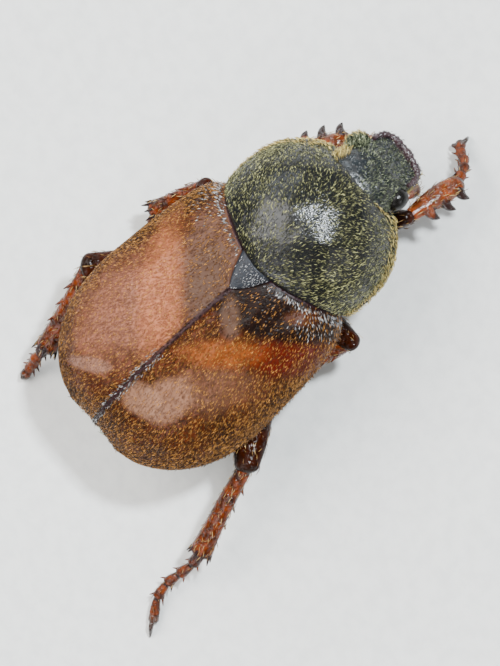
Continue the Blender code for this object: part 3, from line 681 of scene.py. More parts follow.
@dataclass(frozen=True)
class CoverFinish:
    """The wing covers' horn, with real colour patches, painted reflections (pale sky sheens and discs, and a
    near-black patch), a dark seam and a painted shadow along the base.
    """

    name: str = "wing_cover_horn"
    tone: Color = (0.070, 0.014, 0.002)
    second: Color = (0.018, 0.004, 0.001)
    seam: Color = (0.016, 0.006, 0.008)
    rim: Color = (0.120, 0.045, 0.010)
    speck: Color = (0.030, 0.010, 0.006)
    roughness: float = 0.27
    gloss: float = 0.12

    def material(self) -> Material:
        """Builds the material."""
        dress = Dress(self.name)
        drift = dress.group(colour_drift(), Tone=self.tone, Second_Tone=self.second, Scale=1.3)
        # Painted reflections: the patches laid on here are mostly painted sky sheens and a painted near-black
        # reflection; the rest, and the seam, are real colour.
        tints_and_reflections = dress.group(cover_clouds(), Color=drift["Color"], Seam=self.seam, Amount=1.0)
        grain = dress.group(horn_grain(), Scale=7.0, Pit_Scale=11.0, Pits=0.8)
        fine = dress.noise(38.0, 2.0)
        color = dress.mix(dress.band(dress.mark("rim"), 0.55, 1.0, 0.6), tints_and_reflections["Color"], self.rim)
        color = dress.mix(dress.math("MULTIPLY", grain["Fleck"], 0.22), color, self.speck)
        color = dress.mix(dress.band(fine, 0.58, 0.72, 0.18), color, self.speck)
        return dress.done(
            dress.math("ADD", grain["Height"], dress.math("MULTIPLY", fine, 0.35)),
            0.012,
            # Painted shadow: the base rows take the dark seam colour, for the shadowed gap under the
            # pronotum.
            Base_Color=dress.mix(dress.band(dress.mark("base"), 0.3, 0.9, 0.95), color, self.seam),
            Roughness=dress.math("ADD", dress.math("MULTIPLY", fine, 0.14), self.roughness),
            Specular_IOR_Level=self.gloss,
        )


@dataclass(frozen=True)
class EyeFinish:
    """Black glossy eye made of tiny facets."""

    name: str = "eye_facets"
    tone: Color = (0.002, 0.002, 0.002)
    lit: Color = (0.007, 0.006, 0.005)
    facets: float = 34.0

    def material(self) -> Material:
        """Builds the material."""
        dress = Dress(self.name)
        where = dress.millimetres()
        facets = dress.add("TexVoronoi", None, Vector=where, Scale=self.facets, Randomness=0.35)
        away = facets.outputs["Distance"]
        edge = dress.band(away, 0.25, 0.6)
        return dress.done(
            dress.math("SUBTRACT", 1.0, away),
            0.002,
            Base_Color=dress.mix(edge, self.tone, self.lit),
            Roughness=dress.math("ADD", dress.math("MULTIPLY", edge, 0.2), 0.12),
            Specular_IOR_Level=0.20,
        )


@dataclass(frozen=True)
class CoatFinish:
    """Scales or hairs.

    Args:
        name: the material's name.
        deep: colour of the darkest tufts.
        pale: colour of the palest tufts.
        roughness: roughness of each tuft.
        metallic: how much they gleam like metal.
        curve: how few of the tufts are pale; a higher number makes fewer.
        tints_and_reflections: how much they take of the wing covers' patches, lightening only: their real
            colour and their painted reflections.
        gloss: strength of their own reflection.
    """

    name: str
    deep: Color
    pale: Color
    roughness: float = 0.24
    metallic: float = 0.65
    curve: float = 2.0
    tints_and_reflections: float = 0.0
    gloss: float = 0.15

    def material(self) -> Material:
        """Builds the material."""
        dress = Dress(self.name)
        color = dress.group(tuft_tone(), Deep=self.deep, Pale=self.pale, Curve=self.curve)["Color"]
        if self.tints_and_reflections:
            # The scales take the covers' patches too, lightening only: painted sky sheens and real colour
            # patches.
            color = dress.group(cover_clouds("LIGHTEN"), Color=color, Amount=self.tints_and_reflections)["Color"]
        drift = dress.band(dress.noise(2.2), 0.3, 0.75, 0.25)
        return dress.done(
            Base_Color=dress.mix(drift, color, self.deep),
            Roughness=dress.math("ADD", drift, self.roughness),
            Metallic=self.metallic,
            Specular_IOR_Level=self.gloss,
        )


@dataclass(frozen=True)
class FloorFinish:
    """Plain pale floor with a faint paper tooth."""

    name: str = "pale_floor"
    tone: Color = (0.62, 0.62, 0.60)
    second: Color = (0.57, 0.57, 0.555)

    def material(self) -> Material:
        """Builds the material."""
        dress = Dress(self.name)
        tooth = dress.noise(3.0, 4.0)
        return dress.done(
            tooth,
            0.004,
            Base_Color=dress.mix(dress.band(tooth, 0.35, 0.7), self.tone, self.second),
            Roughness=dress.math("ADD", dress.math("MULTIPLY", tooth, 0.1), 0.75),
        )


SHIN_HORN = {"coat": 0.0, "drift": 4.5, "grain": 0.040, "scale": 6.0, "pit_scale": 8.0, "pits": 1.0}
JOINT_HORN = (0.014, 0.006, 0.006)
FINISHES = (
    HornFinish(
        "shield_horn", (0.005, 0.006, 0.006), (0.008, 0.009, 0.009),
        roughness=0.12, grain=0.009, scale=22.0, pit_scale=17.0, pits=0.3, coat=0.0, gloss=0.31,
    ),
    HornFinish(
        "scutellum_horn", (0.010, 0.012, 0.016), (0.018, 0.021, 0.027),
        scale=22.0, pit_scale=17.0, pits=0.3, coat=0.0, gloss=0.16,
    ),
    HornFinish(
        "head_horn", (0.006, 0.008, 0.009), (0.012, 0.015, 0.017), (0.042, 0.016, 0.021),
        roughness=0.24, grain=0.016, pit_scale=17.0, pits=1.0, coat=0.0, gloss=0.45,
    ),
    HornFinish("belly_horn", (0.022, 0.020, 0.015), (0.040, 0.036, 0.026), roughness=0.42, coat=0.15),
    HornFinish("hip_horn", (0.030, 0.010, 0.006), (0.060, 0.016, 0.007), roughness=0.30, coat=0.2),
    HornFinish(
        "femur_horn", (0.030, 0.005, 0.001), (0.007, 0.002, 0.001),
        roughness=0.15, coat=0.0, drift=2.6, grain=0.030, scale=6.0, pit_scale=8.0, pits=1.0, gloss=0.08,
    ),
    HornFinish(
        "tibia_horn", (0.140, 0.024, 0.003), (0.022, 0.005, 0.002), JOINT_HORN,
        roughness=0.18, gloss=0.20, **SHIN_HORN,
    ),
    HornFinish(
        "front_tibia_horn", (0.190, 0.036, 0.006), (0.060, 0.013, 0.003), (0.016, 0.007, 0.006),
        roughness=0.16, gloss=0.45, **SHIN_HORN,
    ),
    HornFinish(
        "tarsus_horn", (0.125, 0.024, 0.004), (0.024, 0.006, 0.003), JOINT_HORN,
        roughness=0.18, coat=0.0, drift=4.5, grain=0.030, gloss=0.20,
    ),
    HornFinish("claw_horn", (0.100, 0.028, 0.008), (0.030, 0.010, 0.005), roughness=0.24),
    HornFinish("feeler_horn", (0.160, 0.032, 0.008), (0.070, 0.018, 0.006), roughness=0.32),
    HornFinish("mouth_horn", (0.070, 0.018, 0.008), (0.030, 0.010, 0.006), roughness=0.30),
    CoverFinish(),
    EyeFinish(),
    FloorFinish(),
    CoatFinish(
        "cover_scales", (0.020, 0.007, 0.002), (0.84, 0.38, 0.09), metallic=0.30, curve=3.3, tints_and_reflections=1.15
    ),
    CoatFinish(
        "shield_hairs", (0.011, 0.011, 0.005), (0.76, 0.74, 0.32), roughness=0.28, metallic=0.30, curve=3.6
    ),
    CoatFinish("head_hairs", (0.014, 0.018, 0.011), (0.46, 0.50, 0.30), metallic=0.45, curve=2.8),
    CoatFinish("silver_hairs", (0.05, 0.045, 0.045), (0.80, 0.80, 0.80), curve=1.6),
    CoatFinish("belly_scales", (0.36, 0.42, 0.27), (0.66, 0.70, 0.52), metallic=0.25),
    CoatFinish("straw_hairs", (0.20, 0.13, 0.03), (0.90, 0.72, 0.26), metallic=0.30, curve=1.0),
    CoatFinish("gold_hairs", (0.12, 0.045, 0.012), (0.70, 0.46, 0.18), metallic=0.35, curve=1.6),
)


@cache
def material(name: str) -> Material:
    """The material of the finish of this name, built on its first use."""
    return next(finish for finish in FINISHES if finish.name == name).material()


@dataclass(frozen=True)
class Tuft:
    """Shape of the scales or hairs of a coat, in millimetres.

    Args:
        length: length of a tuft.
        width: its widest half width.
        thickness: height of its keel.
        lift: rise over its length.
        curl: how far it bends back to the skin.
        scatter: turn to either side, in radians.
        variation: share by which lengths differ.
        belly: half width near the tip, against the widest.
        roll: turn about its own length, in radians.
    """

    length: float
    width: float
    thickness: float
    lift: float
    curl: float
    scatter: float
    variation: float
    belly: float = 0.9
    roll: float = 0.35


@dataclass(frozen=True)
class TuftForm:
    """How the points of one tuft hang together.

    Args:
        run: share along the tuft of each point.
        side: which edge each point lies on, with 0 for the keel, the root and the tip.
        faces: the tuft's triangles.
    """

    run: tuple
    side: tuple
    faces: tuple


SLIM = TuftForm(
    (0.0, 0.42, 0.42, 0.42, 1.0),
    (0.0, -1.0, 0.0, 1.0, 0.0),
    ((0, 2, 1), (0, 3, 2), (0, 1, 3), (4, 1, 2), (4, 2, 3), (4, 3, 1)),
)
FULL = TuftForm(
    (0.0, 0.32, 0.32, 0.32, 0.68, 0.68, 0.68, 1.0),
    (0.0, -1.0, 0.0, 1.0, -1.0, 0.0, 1.0, 0.0),
    ((0, 2, 1), (0, 3, 2), (0, 1, 3), (1, 2, 5), (1, 5, 4), (2, 3, 6), (2, 6, 5), (3, 1, 4),
     (3, 4, 6), (7, 4, 5), (7, 5, 6), (7, 6, 4)),
)


@dataclass
class Coat:
    """Grows tufts on skins and makes one piece of them.

    Args:
        name: the piece's name.
        seed: seed of its chance.
        form: the form of its tufts.
    """

    name: str
    seed: int
    form: TuftForm = FULL

    def __post_init__(self) -> None:
        """Starts with no tufts."""
        self.chance = np.random.default_rng(self.seed)
        self.run, self.side, self.faces = (
            np.array(part) for part in (self.form.run, self.form.side, self.form.faces)
        )
        self.points: list[Array] = []
        self.places: list[Array] = []
        self.marks: list[Array] = []

    def sow(self, skin: Skin, density: float | Density) -> tuple[Array, Array]:
        """Scatters roots over a skin, evenly for their density.

        Args:
            skin: the skin.
            density: tufts to the square millimetre, or these from points, u and v.

        Returns:
            The roots' shares along and across the skin.
        """
        area = np.linalg.norm(np.cross(skin.along, skin.across), axis=2)
        rows, columns = area.shape
        area = area[:, :, None] * (rows - 1) * (columns if skin.closed else columns - 1)
        tall = np.linalg.norm(skin.along, axis=2).mean() * (rows - 1)
        wide = np.linalg.norm(skin.across, axis=2).mean() * columns

        def wanted(u: Array, v: Array) -> Array:
            """How many tufts the skin wants at these places."""
            thick = density(skin.at(skin.points, u, v), u, v) if callable(density) else density
            return skin.at(area, u, v)[:, 0] * thick

        spots = np.meshgrid(np.linspace(0, 1, 40), np.linspace(0, 0.999, 40), indexing="ij")
        most = wanted(*(spot.ravel() for spot in spots)).max()
        if most <= 0:
            return np.zeros(0), np.zeros(0)
        high = max(int(math.sqrt(most * tall / wide)), 1)
        broad = max(int(most / high), 1)
        u, v = np.meshgrid(np.arange(high), np.arange(broad), indexing="ij")
        u = (u.ravel() + self.chance.random(high * broad)) / high
        v = (v.ravel() + self.chance.random(high * broad)) / broad
        kept = self.chance.random(len(u)) < wanted(u, v) / most
        return u[kept], v[kept]

    def grow(
        self,
        skin: Skin,
        density: float | Density,
        tuft: Tuft,
        lie: tuple[float, float] | Callable[[Array], Array] = (1.0, 0.0),
    ) -> "Coat":
        """Grows tufts over one skin.

        Args:
            skin: the skin.
            density: tufts to the square millimetre, or these from points, u and v.
            tuft: their shape.
            lie: their direction along and across the skin, or a field of directions.

        Returns:
            This coat.
        """
        u, v = self.sow(skin, density)
        if not len(u):
            return self
        roots = skin.at(skin.points, u, v)
        normals = unit(skin.at(skin.normals, u, v))
        if callable(lie):
            flow = lie(roots)
        else:
            flow = unit(skin.at(skin.along, u, v)) * lie[0] + unit(skin.at(skin.across, u, v)) * lie[1]
        flow = unit(flow - normals * (flow * normals).sum(axis=1, keepdims=True))
        aside = np.cross(flow, normals)
        flow, aside = turned(flow, aside, self.chance.normal(0, tuft.scatter, len(u)))
        aside, lifted = turned(aside, normals, self.chance.normal(0, tuft.roll, len(u)))
        scale = (1 + tuft.variation * self.chance.uniform(-1, 1, len(u)))[:, None, None]
        run, side = self.run, self.side
        half = np.where(run > 0.5, tuft.width * tuft.belly, tuft.width) * side
        rise = tuft.length * (tuft.lift * run - tuft.curl * run**2) - ROOT_DEPTH * (run == 0)
        rise = rise + np.where((side == 0) & (run > 0) & (run < 1), tuft.thickness, 0.0)
        rise = rise - 0.35 * tuft.thickness * (side != 0)
        sway = self.chance.normal(0, 0.10, len(u))[:, None, None] * (run**2)[:, None] * tuft.length
        self.points.append(
            roots[:, None]
            + flow[:, None] * (tuft.length * run)[:, None] * scale
            + aside[:, None] * (half[:, None] * scale + sway)
            + lifted[:, None] * rise[:, None] * scale
        )
        patch = np.stack([0.5 * side, run - 0.5], axis=1) * TUFT_PATCH
        self.places.append(skin.unwrap(u, v)[:, None] + patch)
        self.marks.append(self.chance.random(len(u)))
        return self

    def build(self, finish: str, slot: str) -> None:
        """Makes the piece, with its map for the bake.

        Args:
            finish: the name of its finish.
            slot: the record's material slot; not used.
        """
        points = to_frame(np.concatenate(self.points))
        count, each = points.shape[:2]
        faces = (np.arange(count)[:, None, None] * each + self.faces).reshape(-1, 3)
        if sum(np.linalg.det(points[0][face]) for face in self.faces) < 0:
            faces = faces[:, ::-1]
        mesh = bpy.data.meshes.new(self.name)
        mesh.vertices.add(count * each)
        mesh.vertices.foreach_set("co", points.ravel().astype(np.float32))
        mesh.loops.add(faces.size)
        mesh.loops.foreach_set("vertex_index", faces.ravel().astype(np.int32))
        mesh.polygons.add(len(faces))
        mesh.polygons.foreach_set("loop_start", np.arange(0, faces.size, 3, dtype=np.int32))
        mesh.update(calc_edges=True)
        store(mesh, "tuft", np.repeat(np.concatenate(self.marks), each))
        store(mesh, "along", np.tile(self.run, count))
        places = np.concatenate(self.places).reshape(-1, 2)[faces.ravel()]
        mesh.uv_layers.new(name=BAKE_MAP).data.foreach_set("uv", places.ravel().astype(np.float32))
        add_piece(mesh, finish)


def axes_along(direction: Array, toward: Sequence[float]) -> tuple[Array, Array]:
    """Two axes across a direction, the first one lying closest to toward."""
    direction = unit(direction)
    first = unit(np.asarray(toward, float) - direction * np.dot(direction, toward))
    return first, np.cross(direction, first)


def sweep(
    path: Array,
    sizes: Array,
    sides: int,
    toward: Sequence[float] = (0, 0, 1),
    flat: float = 1.0,
    ridges: float = 0.0,
) -> Array:
    """Rings of a limb along a path.

    Args:
        path: the points along its middle.
        sizes: its half width at each point.
        sides: points round each ring.
        toward: direction of its first axis.
        flat: its second half width against its first.
        ridges: height of the ridges that run along it, against its half width.

    Returns:
        A grid of points, rows by sides by three.
    """
    turn = np.linspace(0, 2 * math.pi, sides, endpoint=False)
    swell = 1 + ridges * np.cos(RIDGE_COUNT * turn)
    rings = []
    for point, direction, size in zip(path, np.gradient(path, axis=0), sizes):
        first, second = axes_along(direction, toward)
        wave = np.outer(np.cos(turn) * swell, first * size)
        rings.append(point + wave + np.outer(np.sin(turn) * swell, second * size * flat))
    return np.array(rings)


def limb(
    start: Sequence[float],
    end: Sequence[float],
    halves: Sequence[float],
    toward: Sequence[float] = (0, 0, 1),
    flat: float = 1.0,
    rows: int = 22,
    sides: int = 22,
    bow: Sequence[float] = (0, 0, 0),
    ridges: float = 0.0,
) -> Array:
    """Rings of a segment with domed ends.

    Args:
        start: the middle of its first end.
        end: the middle of its last end.
        halves: half widths along it, in equal steps.
        toward: direction of its first axis.
        flat: its second half width against its first.
        rows: rings between the domes.
        sides: points round each ring.
        bow: how far its middle is pushed aside.
        ridges: height of the ridges along it, against its half width.

    Returns:
        A grid of points, rows by sides by three.
    """
    start, end = np.asarray(start, float), np.asarray(end, float)
    sizes = smooth(np.array(halves)[:, None], rows)
    share = np.linspace(0, 1, rows)[:, None]
    middle = start + share * (end - start) + np.sin(math.pi * share) * np.asarray(bow, float)
    turns = np.radians((84, 68, 50, 32, 15))[:, None]
    dome = unit(end - start) * 0.85 * np.sin(turns)
    path = np.vstack([start - dome * sizes[0], middle, end + dome[::-1] * sizes[-1]])
    widths = np.vstack([sizes[0] * np.cos(turns), sizes, sizes[-1] * np.cos(turns[::-1])])
    return sweep(path, widths[:, 0], sides, toward, flat, ridges)


def thorn(root: Array, tip: Array, width: float, bend: Array | float = 0.0, sides: int = 9) -> Array:
    """Rings of a curved tapering spine, tooth or claw.

    Args:
        root: the middle of its sunk root.
        tip: its point.
        width: half width at its root.
        bend: how far its middle is pushed aside.
        sides: points round each ring.

    Returns:
        A grid of points, rows by sides by three.
    """
    path = smooth([root, (root + tip) / 2 + bend, tip], 11)
    sizes = width * (1 - np.linspace(0, 1, 11)) ** 0.75 + 0.006
    return sweep(path, sizes, sides, np.cross(tip - root, (0.3, 0.2, 1.0)))


def beads(share: Array, low: float) -> Array:
    """Half widths of beaded joints, where low is the width between two of them."""
    return low + (1 - low) * np.abs(np.sin(math.pi * share)) ** 0.6


def ellipsoid(center: Sequence[float], radii: Sequence[float], rows: int, sides: int) -> Array:
    """Rings of an upright ellipsoid."""
    tilt = np.linspace(0.04, math.pi - 0.04, rows)[:, None]
    turn = np.linspace(0, 2 * math.pi, sides, endpoint=False)[None]
    x, y = np.sin(tilt) * np.cos(turn), np.sin(tilt) * np.sin(turn)
    return np.stack([x, y, np.cos(tilt) + 0 * turn], axis=2) * np.asarray(radii) + np.asarray(center)


def end_marks(rings: Array, first: float, last: float) -> Array:
    """How dark each ring of a segment is, from the darkness of its first and its last end."""
    share = np.linspace(0, 1, len(rings))
    return first * ramp(-share, -0.22, 0.22) + last * ramp(share, 0.80, 0.2)


@dataclass
class WingCovers:
    """The two wing covers with their ribs, bumps, rims and coat of scales.

    Args:
        lines: for each section its y, how far its margin lies forward, its half width,
            and the heights of its top and margin.
    """

    lines: tuple = (
        (0.64, 0.54, 1.79, 4.03, 2.78),
        (0.45, 0.46, 2.07, 4.08, 2.68),
        (0.16, 0.34, 2.23, 4.12, 2.58),
        (-0.40, 0.20, 2.34, 4.14, 2.48),
        (-1.25, 0.05, 2.42, 4.14, 2.38),
        (-2.05, 0.0, 2.44, 4.07, 2.32),
        (-2.80, 0.0, 2.36, 3.90, 2.30),
        (-3.38, 0.0, 2.15, 3.67, 2.31),
        (-3.83, 0.0, 1.86, 3.40, 2.34),
        (-4.12, -0.01, 1.55, 3.13, 2.38),
        (-4.32, -0.03, 1.20, 2.86, 2.42),
        (-4.43, -0.05, 0.80, 2.62, 2.46),
    )
    power: float = 2.45
    rows: int = 110
    columns: int = 66
    thickness: float = 0.16
    seam_gap: float = 0.014
    shield_length: float = 0.62
    shield_half: float = 0.46
    shield_power: float = 0.62
    ribs: tuple = (0.34, 0.62)
    rib_height: float = 0.022
    rib_width: float = 0.05
    seam_ridge: float = 0.03
    seam_width: float = 0.05
    core: Point = (0.8, -2.0, 2.2)
    scale: Tuft = Tuft(0.080, 0.0072, 0.006, 0.46, 0.26, 0.22, 0.35)
    fringe: Tuft = Tuft(0.12, 0.007, 0.007, 0.8, 0.45, 0.30, 0.35, 0.7)

    def relief(self, y: Array, x: Array, half: Array) -> Array:
        """Height of the ribs, the bumps and the raised seam.

        Args:
            y: places along the body.
            x: distances from the middle.
            half: half width of the cover there.

        Returns:
            The height over the plain dome.
        """
        fade = ramp(y, -4.1, 0.8) * ramp(-y, -0.5, 0.6)
        ribs = sum(bump(x / half, place, self.rib_width) for place in self.ribs)
        shoulder = np.exp(-((x - 1.62) ** 2) / 0.09 - (y - 0.42) ** 2 / 0.10)
        dent = np.exp(-((x - 1.25) ** 2) / 0.05 - (y - 0.45) ** 2 / 0.12)
        hind = np.exp(-((x - 1.25) ** 2) / 0.12 - (y + 3.45) ** 2 / 0.08)
        seam = self.seam_ridge * bump(x, 0.0, self.seam_width) - 0.015 * bump(x, 0.17, 0.05)
        waves = 0.010 * np.sin(3.1 * x + 1.7 * y) * np.sin(2.3 * y - 1.1 * x)
        bumps = 0.09 * shoulder - 0.045 * dent + 0.07 * hind
        return (self.rib_height * ribs + waves) * fade + bumps + seam * ramp(-y, 0.0, 0.4)

    def outer(self) -> Array:
        """The right cover's outer grid, from its base to its apex."""
        grid = np.zeros((self.rows, self.columns, 3))
        table = smooth(self.lines, self.rows)
        for i, (y, forward, half, top, margin) in enumerate(table):
            opening = ramp(y, 0, self.shield_length) ** self.shield_power
            inner_edge = self.seam_gap + self.shield_half * opening
            first = math.asin((inner_edge / half) ** (self.power / 2))
            angle = first + (math.pi / 2 - first) * np.linspace(0, 1, self.columns) ** 1.15
            x = half * np.sin(angle) ** (2 / self.power)
            rise = np.abs(np.cos(angle)) ** (2 / self.power)
            forward = forward * (x / half) ** BASE_BEND
            grid[i] = np.stack([x, y + forward, margin + (top - margin) * rise], axis=1)
        height = self.relief(grid[:, :, 1], grid[:, :, 0], table[:, 2:3])
        return grid + Skin(grid, core=self.core).normals * height[:, :, None]

    def scales(self, side: Side) -> Density:
        """How many scales one cover wants, from points, u and v."""

        def thick(at: Array, u: Array, v: Array) -> Array:
            """Thick at the sides and rear, and thinned on the patches."""
            kept = np.ones(len(at))
            for cloud in TINT_AND_REFLECTION_CLOUDS:
                if cloud.side is side:
                    kept = np.minimum(kept, 1 - cloud.bare * cloud.cover(at))
            return 1750 * (0.6 + 0.35 * np.maximum(ramp(v, 0.45, 0.4), ramp(u, 0.72, 0.2))) * kept

        return thick

    def edge(self, at: Array, u: Array, v: Array) -> Array:
        """A fringe along the outer rim and the apex."""
        return 500 * np.maximum(v > 0.985, (u > 0.992) * 0.8)

    def collar(self, at: Array, u: Array, v: Array) -> Array:
        """Pale hairs along the base, on the shoulder and along the rear half of the seam."""
        shoulder = np.exp(-((np.abs(at[:, 0]) - 1.72) ** 2 + (at[:, 1] - 0.80) ** 2) / 0.09)
        return 700.0 * (u > 0.015) * (u < 0.055) + 420.0 * (v < 0.022) * (u > 0.45) + 300.0 * shoulder

    def build(self) -> None:
        """Builds both covers and their coats."""
        outer = self.outer()
        down = np.linspace(0, 1, self.rows)[:, None]
        thickness = self.thickness * (1 - 0.4 * down**4)[:, :, None]
        inner = outer - Skin(outer, core=self.core).normals * thickness
        inner[:, :, 0] = np.maximum(inner[:, :, 0], outer[:, :1, 0])
        rim = np.maximum(np.linspace(0, 1, self.columns) ** 3, down**14)
        # Painted shadow: the first two rows are marked base, and the material gives them the dark seam colour
        # for the shadowed gap under the pronotum.
        base = np.broadcast_to((np.arange(self.rows) < 2)[:, None], rim.shape)
        marks = np.stack([rim, base], axis=2)
        for side in Side:
            flip = np.array((side.value, 1, 1))
            name = f"wing_cover_{side.word}"
            grids = [outer * flip, inner * flip, marks]
            if side is Side.LEFT:
                grids = [grid[:, ::-1] for grid in grids]
            plate = Builder("rim", "base").plate(*grids[:2], 0.5, grids[2])
            plate.build(name, "wing_cover_horn", "wing_cover", f"elytron_{side.word}")
            skin = Skin(outer * flip, core=flip * self.core)
            coat = Coat(f"{name}_scales", 11 + side.value, SLIM)
            coat.grow(skin, self.scales(side), self.scale, (1.0, 0.18))
            coat.grow(skin, self.edge, self.fringe, (0.5, 1.0))
            coat.build("cover_scales", "wing_cover")
            coat = Coat(f"{name}_collar", 17 + side.value).grow(skin, self.collar, self.scale, (1.0, 0.3))
            coat.build("silver_hairs", "wing_cover")


@dataclass
class Scutellum:
    """The small pointed shield between the bases of the wing covers."""

    rows: int = 34
    columns: int = 30
    length: float = 0.62
    forward: float = 0.08
    half: float = 0.43
    power: float = 0.62
    height: float = 4.05
    thickness: float = 0.20
    hair: Tuft = Tuft(0.06, 0.006, 0.004, 0.3, 0.25, 0.3, 0.3)

    def build(self) -> None:
        """Builds the shield and its hairs."""
        outer = np.zeros((self.rows, self.columns, 3))
        for i, y in enumerate(np.linspace(0.01, self.length + 0.06, self.rows)):
            half = max(self.half * min(y / self.length, 1) ** self.power - 0.012, 0.012)
            x = np.linspace(-half, half, self.columns)
            dome = np.cos(0.5 * math.pi * np.clip(x / self.half, -1, 1))
            edge = 1 - np.abs(x / half) ** 6
            z = self.height + 0.06 * dome + 0.03 * edge - 0.03 * (y / self.length) ** 2
            forward = self.forward * (np.abs(x) / self.half) ** BASE_BEND
            outer[i] = np.stack([x, y + forward, z], axis=1)
        plate = Builder().plate(outer, outer - (0, 0, self.thickness), 0.3)
        plate.build("scutellum_shell", "scutellum_horn", "shield", "scutellum")

        def thin(at: Array, u: Array, v: Array) -> Array:
            """Silver hairs, thick on the right and sparse on the smooth tip."""
            return (220 + 480 * ramp(at[:, 0], -0.1, 0.25)) * np.clip((at[:, 1] - 0.10) / 0.4, 0.1, 1)

        skin = Skin(outer, core=(0, 0.3, 3.0))
        Coat("scutellum_hairs", 23).grow(skin, thin, self.hair, (-1.0, 0.0)).build("silver_hairs", "shield")


@dataclass(frozen=True)
class TrunkShape:
    """A closed piece of the trunk.

    Args:
        rows: for each section the y of its top, side and underside, its half width,
            and the heights of its top, margin and underside.
        top_power: fullness of the upper half.
        under_power: fullness of the lower half.
    """

    rows: tuple
    top_power: float = 2.3
    under_power: float = 1.9

    def rings(self, count: int, sides: int, swell: Callable[[float], float] | None = None) -> Array:
        """Rings of the piece.

        Args:
            count: how many rings.
            sides: points round each ring.
            swell: change of the underside's depth from the share along it.

        Returns:
            A grid of points.
        """
        turn = np.linspace(0, 2 * math.pi, sides, endpoint=False)
        sine, cosine = np.sin(turn), np.cos(turn)
        upper = cosine >= 0
        power = np.where(upper, self.top_power, self.under_power)
        share = np.sign(sine) * np.abs(sine) ** (2 / power)
        rise = np.abs(cosine) ** (2 / power)
        grid = []
        for number, row in enumerate(smooth(self.rows, count)):
            y_top, y_side, y_under, half, top, margin, under = row
            depth = (margin - under) * (swell(number / (count - 1)) if swell else 1.0)
            middle = np.where(upper, y_top, y_under)
            y = middle + (y_side - middle) * np.abs(share) ** BASE_BEND
            z = margin + np.where(upper, top - margin, -depth) * rise
            grid.append(np.stack([share * half, y, z], axis=1))
        return np.array(grid)


@dataclass
class Pronotum:
    """The domed shield behind the head, with its hair-scales and fringe."""

    shape: TrunkShape = TrunkShape(
        (
            (0.69, 1.19, 0.95, 1.86, 4.10, 2.80, 1.55),
            (0.78, 1.26, 1.00, 1.89, 4.18, 2.77, 1.47),
            (1.05, 1.48, 1.15, 1.92, 4.26, 2.70, 1.34),
            (1.60, 1.88, 1.60, 1.93, 4.33, 2.58, 1.24),
            (2.15, 2.25, 2.00, 1.88, 4.28, 2.50, 1.22),
            (2.70, 2.68, 2.35, 1.70, 4.06, 2.42, 1.27),
            (3.10, 3.02, 2.60, 1.41, 3.79, 2.38, 1.40),
            (3.34, 3.26, 2.78, 1.09, 3.54, 2.40, 1.56),
            (3.41, 3.33, 2.82, 0.95, 3.42, 2.42, 1.66),
        ),
        2.25,
    )
    hair: Tuft = Tuft(0.086, 0.0056, 0.0032, 0.26, 0.20, 0.34, 0.45)
    fringe: Tuft = Tuft(0.11, 0.008, 0.007, 0.7, 0.45, 0.35, 0.35, 0.6)

    def relief(self, x: Array, y: Array, z: Array) -> Array:
        """Height of the dents, the rim and the uneven top over the plain dome."""
        line = -0.012 * bump(x, 0.0, 0.06) * ramp(y, 0.9, 0.5)
        dents = -0.035 * bump(np.abs(x), 1.25, 0.2) * bump(y, 1.95, 0.22)
        uneven = 0.010 * np.sin(6.1 * x + 0.8) * np.sin(5.3 * y - 0.6)
        uneven = uneven + 0.005 * np.sin(13.0 * x - y) * np.sin(11.0 * y + 2.0 * x)
        return (line + dents + uneven) * ramp(z, 2.6, 0.5) + 0.05 * bump(z, 2.62, 0.07) * (np.abs(x) > 0.9)

    def build(self) -> None:
        """Builds the shield and its coat."""
        rings = self.shape.rings(110, 140)
        height = self.relief(*np.moveaxis(rings, 2, 0))
        points = rings + Skin(rings, closed=True).normals * height[:, :, None]
        run = np.linspace(0, 1, len(rings))
        # Painted shadow: the end rows, where the pronotum meets the wing covers and the head, are marked dark
        # and take the joint colour.
        edge = 0.4 * np.maximum(bump(run, 0.0, 0.02), bump(run, 1.0, 0.02))
        Builder().grid(points, edge).build("pronotum_shell", "shield_horn", "shield", "prothorax", 80)
        skin = Skin(points, closed=True)

        def thick(at: Array, u: Array, v: Array) -> Array:
            """Hair-scales, thick at the sides, thinner and patchy on top."""
            side = ramp(np.abs(at[:, 0]), 0.7, 0.9)
            patch = 0.72 + 0.28 * np.sin(5.1 * at[:, 0] + 1.0) * np.sin(4.3 * at[:, 1])
            calm = 1 - 0.68 * np.exp(-(at[:, 0] ** 2 + (at[:, 1] - 1.90) ** 2) / 0.95)
            under = np.where(at[:, 2] < 2.35, 0.25, 1.0)
            return 1750 * (0.7 + 0.3 * side) * patch * calm * under * (u > 0.125) * (u < 0.985)

        def back(at: Array) -> Array:
            """Backward and to the middle."""
            return np.stack([-0.95 * np.clip(at[:, 0] / 0.7, -1, 1), -np.ones(len(at)), 0 * at[:, 0]], axis=1)

        def margin(at: Array, u: Array, v: Array) -> Array:
            """A golden fringe on the side margins and the front corners."""
            level = bump(at[:, 2], 2.66, 0.22) * (np.abs(at[:, 0]) > 0.8)
            return 380 * level + 360 * (u > 0.955) * (at[:, 2] > 2.3) * (np.abs(at[:, 0]) > 0.55)

        def outward(at: Array) -> Array:
            """Outward from the middle of the shield."""
            return (at - (0, 2, 0)) * (1, 0.4, 0)

        Coat("pronotum_hairs", 31, SLIM).grow(skin, thick, self.hair, back).build("shield_hairs", "shield")
        Coat("pronotum_fringe", 33).grow(skin, margin, self.fringe, outward).build("straw_hairs", "shield")


